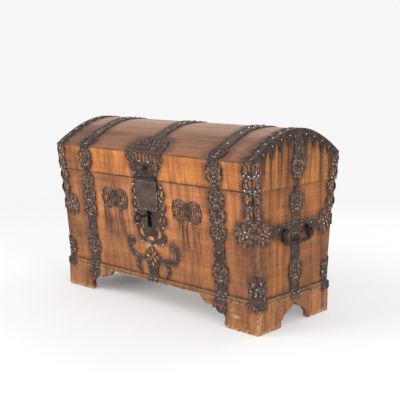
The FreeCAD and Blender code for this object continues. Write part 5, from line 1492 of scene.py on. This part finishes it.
def makeKey():
    reach, bow, wire, shank = 95 * mm, 16 * mm, 5.4 * mm, 6 * mm
    back = -(25 * math.cos(leanAngle) + 3) * mm
    bowOut = reach - bow - wire
    collar = haspBack + haspSizes["thickness"] + 9 * mm
    stem = bowOut - bow
    profile = [(0, back), (shank * 0.8, back), (shank, back + 1 * mm), (shank, collar - 2 * mm),
               (9 * mm, collar), (9 * mm, collar + 5 * mm), (6 * mm, collar + 7 * mm),
               (shank * 0.85, stem - 12 * mm), (7.5 * mm, stem - 8 * mm), (7.5 * mm, stem - 4 * mm),
               (shank, stem), (0, stem + 1 * mm)]
    bm = bmesh.new()
    placedInto(bm, turnedShape(profile), leanFrame)
    turns = [math.tau * i / 40 for i in range(40)]
    ring = [(0, 1.15 * bow * math.sin(t), bowOut - bow * 0.98 * math.cos(t)) for t in turns]
    placedInto(bm, tubes([(ring, wire, True)], 3), leanFrame)
    placedInto(bm, roundedBox((-3 * mm, -28 * mm, -44 * mm), (3 * mm, 0, -34 * mm), 0.6 * mm), leanFrame)
    smoothShade(bm)
    finishPiece(bm, "key_with_ring_bow", "key", ["key"], [irons["black"]])


makeKnob()
makeKey()
print("lock fittings made")

# Hinges of the back: a leaf with two lobes on the body, one on the lid, and three knuckles on a pin

hingeSizes = {"barrel": 7 * mm, "gap": 0.3 * mm, "knuckle": 24 * mm, "knuckles": 3, "leafDrop": 320 * mm,
              "lobeHeight": 116 * mm, "web": 6 * mm}
hingeY = chest["middleY"] + chest["lidHalfDepth"] + hingeSizes["barrel"] + hingeSizes["gap"]


def makeHinges():
    bodyIron, lidIron, bodyExtra, lidExtra = startIron(), startIron(), bmesh.new(), bmesh.new()
    radius, length, tall = hingeSizes["barrel"], hingeSizes["knuckle"], hingeSizes["lobeHeight"]
    pitch = length + haspSizes["knuckleGap"]
    clear = radius + hingeSizes["gap"]
    seam = chest["seam"]
    for side in (-1, 1):
        u = side * bandPlace
        low = seam - hingeSizes["leafDrop"]
        upper, upperHoles = addMedallion(bodyIron, "chest", u, seam - tall, bandSizes["width"], tall, backMap)
        lower, lowerHoles = addMedallion(bodyIron, "chest", u, low, bandSizes["width"], tall, backMap)
        shaft = bar(u, low, seam - clear, halfStrap)
        outline = sideOutline(upper + lower, [shaft], low - tall / 2, seam - clear)
        addPlate(bodyIron, outline, upperHoles + lowerHoles, backMap)
        addBorders(bodyIron, u, low + tall * 0.5, seam - tall * 1.5, backMap)
        middle, base = (seam + chest["spring"]) / 2, seam + clear + 2 * hingeSizes["gap"]
        discs, holes = addMedallion(lidIron, "lid", u, middle, bandSizes["width"], tall, backMap)
        shaft = bar(u, base, chest["spring"], halfStrap)
        addPlate(lidIron, sideOutline(discs, [shaft], base, chest["spring"]), holes, backMap)
        for index in range(hingeSizes["knuckles"]):
            x0 = u + (index - hingeSizes["knuckles"] / 2) * pitch + haspSizes["knuckleGap"] / 2
            place = Matrix.Translation((x0, hingeY, seam)) @ alongX
            lidKnuckle = index % 2 == 1
            extra = lidExtra if lidKnuckle else bodyExtra
            placedInto(extra, barrel(radius, length), place)
            railFace = chest["middleY"] + chest["lidHalfDepth"]
            if lidKnuckle:
                near = (x0, railFace - 1 * mm, seam + 1 * mm)
                far = (x0 + length, hingeY - hingeSizes["gap"], seam + clear + hingeSizes["web"])
            else:
                near = (x0, railFace - 6 * mm, seam - 2 * radius)
                far = (x0 + length, hingeY - 1 * mm, seam - 0.6 * mm)
            joinInto(extra, roundedBox(near, far, 0.8 * mm), 0)
    finishIron(bodyIron, "hinge_body_ironwork", "chest", ["hinge_body_straps"], bodyExtra)
    finishIron(lidIron, "hinge_lid_ironwork", "lid", ["hinge_lid_leaves"], lidExtra)


makeHinges()

# Drop handles on the ends

handleSizes = {"set": 3 * mm, "halfSpan": 90 * mm, "bulge": 12 * mm, "drop": 56 * mm, "wire": 7 * mm,
               "standoff": 14 * mm, "bead": 11.5 * mm, "eyeHalf": 7 * mm, "eye": 9 * mm, "stub": 4 * mm}
handleLeaf = ((0, -30), (4, -27), (9, -14), (11.5, -3), (8, 8), (4.5, 16), (0, 20))


def makeHandles():
    z, span = crossHeight - handleSizes["set"], handleSizes["halfSpan"]
    low, wide, wire = z - handleSizes["drop"], span + handleSizes["bulge"], handleSizes["wire"]
    x = chest["halfWidth"] + 3 * mm + handleSizes["standoff"]
    eyes = bmesh.new()
    for side, body, node in ((1, "right_bail", "right_handle"), (-1, "left_bail", "left_handle")):
        bm = bmesh.new()
        half = [(0, low - 1 * mm), (span * 0.45, low), (span - 12 * mm, low + 1 * mm),
                (wide - 2 * mm, low + 14 * mm), (wide + 1 * mm, z - 28 * mm), (wide, z - 12 * mm),
                (span + 3 * mm, z - 1 * mm), (span - 8 * mm, z)]
        line = smoothLine([(-y, v) for y, v in half[:0:-1]] + half, 7)
        path = [Vector((side * x, chest["middleY"] + y, v)) for y, v in line]
        joinInto(bm, tubes([(path, wire, False)], 3), 0)
        along = Matrix.Rotation(-math.pi / 2, 4, "X")
        for y, size in ((-1, 0.8), (-0.72, 0.62), (0, 1), (0.72, 0.62), (1, 0.8)):
            radius = handleSizes["bead"] * size
            curve = [(radius * math.cos(math.radians(a)), radius * 0.9 * math.sin(math.radians(a)))
                     for a in range(-75, 76, 15)]
            profile = [(0, -radius), *curve, (0, radius)]
            place = Matrix.Translation((side * x, chest["middleY"] + y * span / 2, low - (1 - abs(y)) * mm))
            placedInto(bm, turnedShape(profile, 20), place @ along)
        for end in (-1, 1):
            for rise, radius in ((-44, 8.5), (-37, 11), (-29, 11.5), (-21, 10.5), (-14, 8.5)):
                placedInto(bm, turnedShape([(0, -4 * mm), (radius * 0.8 * mm, -3 * mm), (radius * mm, 0),
                                            (radius * 0.8 * mm, 3 * mm), (0, 4 * mm)], 18),
                           Matrix.Translation((side * x, chest["middleY"] + end * wide, z + rise * mm)))
            leaf = turnedShape([(r * mm, h * mm) for r, h in handleLeaf], 18)
            place = Matrix.Translation((side * x, chest["middleY"] + end * (span - 4 * mm), z - 33 * mm))
            placedInto(bm, leaf, place)
            eyeHalf, eye, thick = handleSizes["eyeHalf"], handleSizes["eye"], handleSizes["stub"]
            middle = end * (span - eyeHalf * 2)
            stub = turnedShape([(0, 0), (thick, 0), (thick, 22 * mm), (0, 22 * mm)], 16)
            start = middle - (eyeHalf if end > 0 else 15 * mm)
            placedInto(bm, stub, Matrix.Translation((side * x, chest["middleY"] + start, z)) @ along)
            y, bore, tall = chest["middleY"] + middle, thick + 0.1 * mm, eye * 0.85
            ring = [(bore, 0), (eye - 1 * mm, 0), (eye, 1 * mm), (eye, 2 * eyeHalf - 1 * mm),
                    (eye - 1 * mm, 2 * eyeHalf), (bore, 2 * eyeHalf)]
            ringMesh = turnedShape(ring + [ring[0]], 24)
            placedInto(eyes, ringMesh, Matrix.Translation((side * x, y - eyeHalf, z)) @ along)
            face = side * (chest["halfWidth"] + 2.6 * mm)
            ends = sorted((face, side * (x - thick - 1.5 * mm)))
            box = roundedBox((ends[0], y - eyeHalf, z - tall), (ends[1], y + eyeHalf, z + tall), 1.2 * mm)
            joinInto(eyes, box, 0)
            plate = turnedShape([(0, 0), (15 * mm, 0), (15 * mm, 1.4 * mm), (12 * mm, 2.6 * mm),
                                 (0, 3 * mm)], 20)
            outward = Matrix.Rotation(side * math.pi / 2, 4, "Y")
            placedInto(eyes, plate, Matrix.Translation((face, y, z)) @ outward)
        smoothShade(bm)
        finishPiece(bm, node + "_bail", body, [node], [irons["black"]])
    bmesh.ops.recalc_face_normals(eyes, faces=eyes.faces)
    smoothShade(eyes)
    finishPiece(eyes, "handle_eye_plates", "chest", ["handle_eyes"], [irons["black"]])


makeHandles()


def makeNails():
    for body, prefix in (("chest", "body"), ("lid", "lid")):
        name, node, bm = prefix + "_nail_heads", prefix + "_nails", bmesh.new()
        addHeads(bm, nailHeads[body], nailMesh, 0)
        smoothShade(bm)
        finishPiece(bm, name, body, [node], [irons["nail"]])
        print(name, len(nailHeads[body]))


makeNails()

cadIrons = {"hasp_pin": "black", "hinge_pins": "black", "lock_case": "black", "lock_bolt": "rim",
            "lid_catch": "rim"}
for node, slotMaterial in cadIrons.items():
    for slot in nodes[node].material_slots:
        slot.material = irons[slotMaterial]
print("hinges, handles and nails made")

# Boards: the CAD board's own shape with worn edges, a slightly uneven face and marks near the iron, with
# painted shade on the feet's inner sides and along the joints

boardSizes = {"bevel": 1.7 * mm, "uneven": 0.35 * mm, "chip": 1.3 * mm, "halo": 22 * mm, "edgeReach": 7 * mm}
# levels of the dark joint lines, which also paint the shadow under the overhanging lid and dome edges
jointAndShadeLevels = (chest["seam"], chest["spring"], chest["mouldingTop"])
ironTree = KDTree(len(ironPoints))
for pointIndex, point in enumerate(ironPoints):
    ironTree.insert(point, pointIndex)
ironTree.balance()


def sharpEdges(bm, limit=math.radians(28)):
    return [e for e in bm.edges if len(e.link_faces) == 2 and e.calc_face_angle(0) > limit]


def gridCuts(bm, cells):
    low = [min(v.co[k] for v in bm.verts) for k in range(3)]
    high = [max(v.co[k] for v in bm.verts) for k in range(3)]
    for axis, cell in enumerate(cells):
        if not cell or high[axis] - low[axis] < 2 * cell:
            continue
        count = round((high[axis] - low[axis]) / cell)
        levels = [low[axis] + (high[axis] - low[axis]) * i / count for i in range(1, count)]
        levels += [low[axis] + 5 * mm, high[axis] - 5 * mm]
        normal = Vector([1 if k == axis else 0 for k in range(3)])
        for level in levels:
            bmesh.ops.bisect_plane(bm, geom=bm.verts[:] + bm.edges[:] + bm.faces[:], dist=0.05 * mm,
                                   plane_co=normal * level, plane_no=normal)


def dripAt(p):
    # dark runs below the cartouches and the arch's daggers
    share = 0.0
    if p.y < chest["middleY"] and p.z < chest["seam"]:
        for u, drop in cartoucheSizes["spots"]:
            bottom = chest["seam"] - drop - cartoucheSizes["height"] / 2
            if abs(p.x - u) < cartoucheSizes["width"] * 0.5 and bottom - 0.20 < p.z < bottom + 0.02:
                share = max(share, min(1, 1.5 - 1.5 * max(0, bottom - p.z) / 0.20))
    if abs(p.x) > chest["halfWidth"] - 1 * mm and p.z > chest["seam"]:
        y = p.y - chest["middleY"]
        below = domeHeight(min(abs(y), chest["springHalfDepth"])) - edgingSizes["width"] - p.z
        for index, place in enumerate(pendantPlaces):
            reach = (0.12, 0.22, 0.15, 0.25, 0.14)[index % 5]
            wide = math.exp(-((y - place) / (13 * mm)) ** 2)
            share = max(share, 2.4 * wide * min(1, 1.3 * max(0, 1 - max(0, below - 0.04) / reach)))
    return share


chips = [
    {"place": (0.628, -0.228, 0.052), "size": (14 * mm, 14 * mm, 46 * mm), "share": 1.0},
    {"place": (0.50, -0.228, 0.060), "size": (34 * mm, 20 * mm, 12 * mm), "share": 1.3},
    {"place": (0.48, -0.228, 0.088), "size": (10 * mm, 20 * mm, 28 * mm), "share": 1.2},
    {"place": (0.62, -0.240, 0.33), "size": (5 * mm, 5 * mm, 50 * mm), "share": 0.30},
]


def patchAt(p):
    # dirty wood at the corners, and the bare spot under the lock plate
    dirtAndShade, bare = 0.0, 0.0
    isFront = p.y < chest["middleY"] - chest["halfDepth"] / 2
    if chest["baseTop"] < p.z < crossHeight:
        off = chest["halfWidth"] - abs(p.x) + frontDepth(p.z) - abs(p.y - chest["middleY"])
        reach = 190 * mm if isFront and abs(p.x) < chest["halfWidth"] - 2 * mm else 90 * mm
        dirtAndShade = 0.85 * max(0.0, 1 - off / reach) * min(1, max(0, (p.z - chest["mouldingTop"]) / (50 * mm)))
    if isFront and p.x < -bandPlace and p.z > chest["mouldingTop"]:
        dirtAndShade = max(dirtAndShade, (0.48 if p.z < chest["seam"] else 0.42) + 0.3 * noise.noise(p * 9))
    if isFront and keyHeight < p.z < chest["seam"] and p.x < 0:
        dirtAndShade = max(dirtAndShade, 0.18 + 0.4 * noise.noise(p * 8))
    if isFront and chest["mouldingTop"] < p.z < keyHeight:
        dirtAndShade = max(dirtAndShade, 0.17 * min(1, (keyHeight - p.z) / (60 * mm)) * (1.6 if p.x < 0 else 1))
    if isFront:
        for u, drop in cartoucheSizes["spots"]:
            off = math.hypot((p.x - u) / (80 * mm), (p.z - chest["seam"] + drop) / (46 * mm))
            dirtAndShade = max(dirtAndShade, min(0.60, 1.8 * (1 - off)))
    if chest["baseTop"] - 2 * mm < p.z < chest["mouldingTop"]:
        dirtAndShade = max(dirtAndShade, (0.35 if isFront else 0.65) + 0.5 * noise.noise(p * 14))
    if isFront:
        spot = math.hypot(p.x / (46 * mm), (p.z - 0.294) / (24 * mm))
        bare = 1.4 * max(0.0, 1 - spot ** 2)
    for chip in chips:
        off = p - Vector(chip["place"])
        size = chip["size"]
        spot = math.hypot(off.x / size[0], off.y / size[1], off.z / size[2])
        bare = max(bare, chip["share"] * max(0.0, 1 - spot ** 2))
    return dirtAndShade, min(1.0, bare)


def markBoard(bm, edgePoints, wear, edgeDirt=0.0):
    tree = KDTree(max(1, len(edgePoints)))
    for i, p in enumerate(edgePoints):
        tree.insert(p, i)
    tree.balance()
    stainAndShade, drip, worn = [bm.verts.layers.float.new(n) for n in ("stainAndShade", "drip", "worn")]
    lowest = min(v.co.z for v in bm.verts)
    for vert in bm.verts:
        near = ironTree.find(vert.co)[2]
        dirtAndShade, bare = patchAt(vert.co)
        # dark joint lines at the seam, the spring and the moulding's top: partly real joints, partly painted
        # shadow under the overhanging edges
        jointAndShade = max(max(0.0, 1 - abs(vert.co.z - level) / (5.5 * mm)) for level in jointAndShadeLevels)
        if abs(vert.co.x) > chest["halfWidth"] - 1 * mm and vert.co.z > crossHeight:
            jointAndShade *= 0.4
        isPlain = not edgeDirt or vert.normal.z < 0
        soot = 1 if isPlain else 1.6 if vert.co.z > chest["spring"] + 65 * mm else 2.7
        if lowest < 5 * mm:
            # painted shade: the inner sides of the feet, which face in under the chest, are darkened
            inward = -vert.normal.x * vert.co.x - vert.normal.y * (vert.co.y - chest["middleY"])
            dirtAndShade = max(dirtAndShade, min(0.9, 6 * inward))
        halo = max(0.0, 1 - near / (boardSizes["halo"] * soot))
        edge = max(0.0, 1 - tree.find(vert.co)[2] / boardSizes["edgeReach"]) if edgePoints else 0.0
        vert[stainAndShade] = min(1, max(0.95 * halo ** 0.8, dirtAndShade, 1.4 * jointAndShade, edgeDirt * edge))
        vert[drip] = dripAt(vert.co)
        low = 20 * mm if lowest < 5 * mm else 6 * mm
        foot = max(0.0, 1 - (vert.co.z - lowest) / low) if lowest < chest["mouldingTop"] - 10 * mm else 0.0
        vert[worn] = min(1.0, max(0.30 * wear * edge * (1 - min(1, 3 * jointAndShade)), 1.3 * wear * foot, bare))
        rough = noise.noise(vert.co * 38)
        dent = noise.noise(vert.co * 130) * edge
        vert.co += vert.normal * (boardSizes["uneven"] * rough - boardSizes["chip"] * wear * max(0, dent))


def edgeSamples(edges, step=6 * mm):
    points = []
    for e in edges:
        a, b = e.verts[0].co, e.verts[1].co
        count = max(1, round((b - a).length / step))
        points += [a.lerp(b, i / count) for i in range(count + 1)]
    return points


def makeBoard(node, look, body, slotName, cells, wear=0.6):
    bm = bmesh.new()
    bm.from_mesh(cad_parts[node].data)
    bmesh.ops.remove_doubles(bm, verts=bm.verts, dist=0.02 * mm)
    bmesh.ops.dissolve_limit(bm, angle_limit=math.radians(1), verts=bm.verts, edges=bm.edges)
    sharp = sharpEdges(bm)
    samples = edgeSamples(sharp)
    bmesh.ops.bevel(bm, geom=sharp, offset=boardSizes["bevel"], offset_type="OFFSET", segments=2, profile=0.5,
                    affect="EDGES", material=-1, clamp_overlap=True)
    gridCuts(bm, cells)
    bm.normal_update()
    markBoard(bm, samples, wear)
    smoothShade(bm)
    finishPiece(bm, node + "_wood", body, [node], [woods[look]])


fine, coarse = 12 * mm, 24 * mm
boards = [
    ("front_board", "front", "chest", "chest_wood", (fine, 0, fine), 0.5),
    ("back_board", "front", "chest", "chest_wood", (fine, 0, fine), 0.5),
    ("right_end_board", "end", "chest", "chest_wood", (0, fine, fine), 0.6),
    ("left_end_board", "end", "chest", "chest_wood", (0, fine, fine), 0.6),
    ("front_moulding", "base", "chest", "base_wood", (fine, 0, 6 * mm), 1.0),
    ("back_moulding", "base", "chest", "base_wood", (fine, 0, 6 * mm), 1.0),
    ("end_mouldings", "base", "chest", "base_wood", (0, fine, 6 * mm), 1.0),
    ("front_right_foot", "base", "chest", "base_wood", (fine, 0, fine), 1.0),
    ("front_left_foot", "base", "chest", "base_wood", (fine, 0, fine), 1.0),
    ("back_right_foot", "base", "chest", "base_wood", (fine, 0, fine), 1.0),
    ("back_left_foot", "base", "chest", "base_wood", (fine, 0, fine), 1.0),
    ("right_plinth", "base", "chest", "base_wood", (0, fine, fine), 1.0),
    ("left_plinth", "base", "chest", "base_wood", (0, fine, fine), 1.0),
    ("lid_front_rail", "rail", "lid", "chest_wood", (fine, 0, fine), 0.5),
    ("lid_back_rail", "rail", "lid", "chest_wood", (fine, 0, fine), 0.5),
    ("lid_right_end", "lidEnd", "lid", "chest_wood", (0, fine, fine), 0.5),
    ("lid_left_end", "lidEnd", "lid", "chest_wood", (0, fine, fine), 0.5),
    ("bottom_board", "inner", "chest", "inner_wood", (coarse, coarse, 0), 0.2),
]
for entry in boards:
    makeBoard(*entry)
print("boards made")

for slot in nodes["foot_blocks"].material_slots:
    slot.material = woods["inner"]

# Dome staves: each is a cube cut into a grid and bent over the arch

staveAngles = (13.5, 31.2)


def arcOfAngle(degrees):
    angle = math.radians(degrees)
    if angle <= dome["crestHalfAngle"]:
        return dome["crestRadius"] * angle
    return dome["crestArc"] + (angle - dome["crestHalfAngle"]) * dome["flankRadius"]


def makeStave(number, s0, s1):
    half, thick, bevel = chest["lidHalfWidth"], dome["thickness"], 1.4 * mm
    far = dome["springArc"] + 0.04
    bm = roundedBox((-half, max(s0, -far), -thick), (half, min(s1, far), 0), bevel)
    gridCuts(bm, (fine, 11 * mm, 0))
    for vert in bm.verts:
        vert.co = domeMap(*vert.co)
    bm.normal_update()
    across = [-half + 8 * mm * i for i in range(int(2 * half / (8 * mm)))]
    edges = [domeMap(x, s, 0) for s in (s0, s1) for x in across]
    markBoard(bm, edges, 0.8, 0.75)
    if abs(number - 3) == 2:
        bmesh.ops.bisect_plane(bm, geom=bm.verts[:] + bm.edges[:] + bm.faces[:], clear_inner=True,
                               plane_co=(0, 0, chest["spring"]), plane_no=(0, 0, 1))
        bmesh.ops.holes_fill(bm, edges=[e for e in bm.edges if e.is_boundary])
    smoothShade(bm)
    node = "dome_board_" + str(number)
    finishPiece(bm, node + "_wood", "lid", [node], [woods["dome"]])


def makeStaves():
    near, middle, far = arcOfAngle(staveAngles[0]), arcOfAngle(staveAngles[1]), dome["springArc"] + 0.04
    cuts = [-far, -middle, -near, near, middle, far]
    for number, (s0, s1) in enumerate(zip(cuts, cuts[1:]), 1):
        makeStave(number, s0, s1)


makeStaves()
print("dome made")

# Floor and light

studio = {"floorRadius": 14.0, "fadeStart": 1.9, "fadeEnd": 4.0, "backdrop": (0.925, 0.925, 0.925, 1),
          "world": 0.74, "floor": (0.86, 0.86, 0.865, 1), "floorGlow": 0.36,
          "gloom": 0.35, "gloomPlace": (-0.44, 0.03, 0), "gloomCore": 0.04, "gloomReach": 0.29}


def seenBackground(tree):
    # 1 for rays of the camera, and for those that metal or glass sends on
    ray = addNode(tree, "LightPath").outputs
    return mathOf(tree, "MAXIMUM", ray["Is Camera Ray"],
                  mathOf(tree, "MAXIMUM", ray["Is Glossy Ray"], ray["Is Transmission Ray"]))


def makeStage():
    bm = bmesh.new()
    bmesh.ops.create_circle(bm, cap_ends=True, segments=96, radius=studio["floorRadius"])
    mesh = bpy.data.meshes.new("studioFloor")
    bm.to_mesh(mesh)
    bm.free()
    floor = bpy.data.objects.new("studioFloor", mesh)
    bpy.context.scene.collection.objects.link(floor)
    material = bpy.data.materials.new("paleFloor")
    material.use_nodes = True
    tree = material.node_tree
    tree.nodes.clear()
    coords = addNode(tree, "TexCoord").outputs["Object"]
    reach = addNode(tree, "VectorMath", {0: coords}, operation="LENGTH").outputs["Value"]
    fadeRange = {"Value": reach, "From Min": studio["fadeStart"], "From Max": studio["fadeEnd"],
                 "To Min": studio["floorGlow"], "To Max": 1.0}
    fade = addNode(tree, "MapRange", fadeRange, interpolation_type="SMOOTHSTEP").outputs["Result"]
    # the floor's own glow fades under the chest, where the shadow is deep
    off = addNode(tree, "VectorMath", {0: coords, 1: studio["gloomPlace"]}, operation="DISTANCE")
    under = rampOf(tree, off.outputs["Value"], studio["gloomCore"], studio["gloomReach"], studio["gloom"])
    fade = mathOf(tree, "MULTIPLY", fade, under)
    seen = mathOf(tree, "MULTIPLY", fade, seenBackground(tree))
    matt = addNode(tree, "BsdfDiffuse", {"Color": studio["floor"]})
    glow = addNode(tree, "Emission", {"Color": studio["backdrop"], "Strength": 1.0})
    mix = addNode(tree, "MixShader", {0: seen, 1: matt.outputs[0], 2: glow.outputs[0]})
    addNode(tree, "OutputMaterial", {"Surface": mix.outputs[0]})
    mesh.materials.append(material)


def makeWorld():
    world = bpy.data.worlds.new("studioLight")
    bpy.context.scene.world = world
    world.use_nodes = True
    tree = world.node_tree
    tree.nodes.clear()
    backdrop = addNode(tree, "Background", {"Color": studio["backdrop"], "Strength": 1.0})
    light = addNode(tree, "Background", {"Color": (1, 1, 1, 1), "Strength": studio["world"]})
    mix = addNode(tree, "MixShader", {0: seenBackground(tree), 1: light.outputs[0], 2: backdrop.outputs[0]})
    addNode(tree, "OutputWorld", {"Surface": mix.outputs[0]})


lamps = {
    "key": {"place": (-1.6, -3.4, 3.6), "size": 2.6, "power": 118},
    "fill": {"place": (3.6, -1.2, 2.6), "size": 2.4, "power": 45},
    "back": {"place": (0.6, 3.2, 3.4), "size": 2.4, "power": 50},
}


def makeLamps():
    for name, lamp in lamps.items():
        data = bpy.data.lights.new(name + "Lamp", "AREA")
        data.size, data.energy = lamp["size"], lamp["power"]
        holder = bpy.data.objects.new(name + "Lamp", data)
        bpy.context.scene.collection.objects.link(holder)
        holder.location = lamp["place"]
        aim = Vector((0, 0, 0.4)) - holder.location
        holder.rotation_euler = aim.to_track_quat("-Z", "Y").to_euler()


makeStage()
makeWorld()
makeLamps()
bpy.context.scene.view_settings.view_transform = "Standard"
print("studio made")
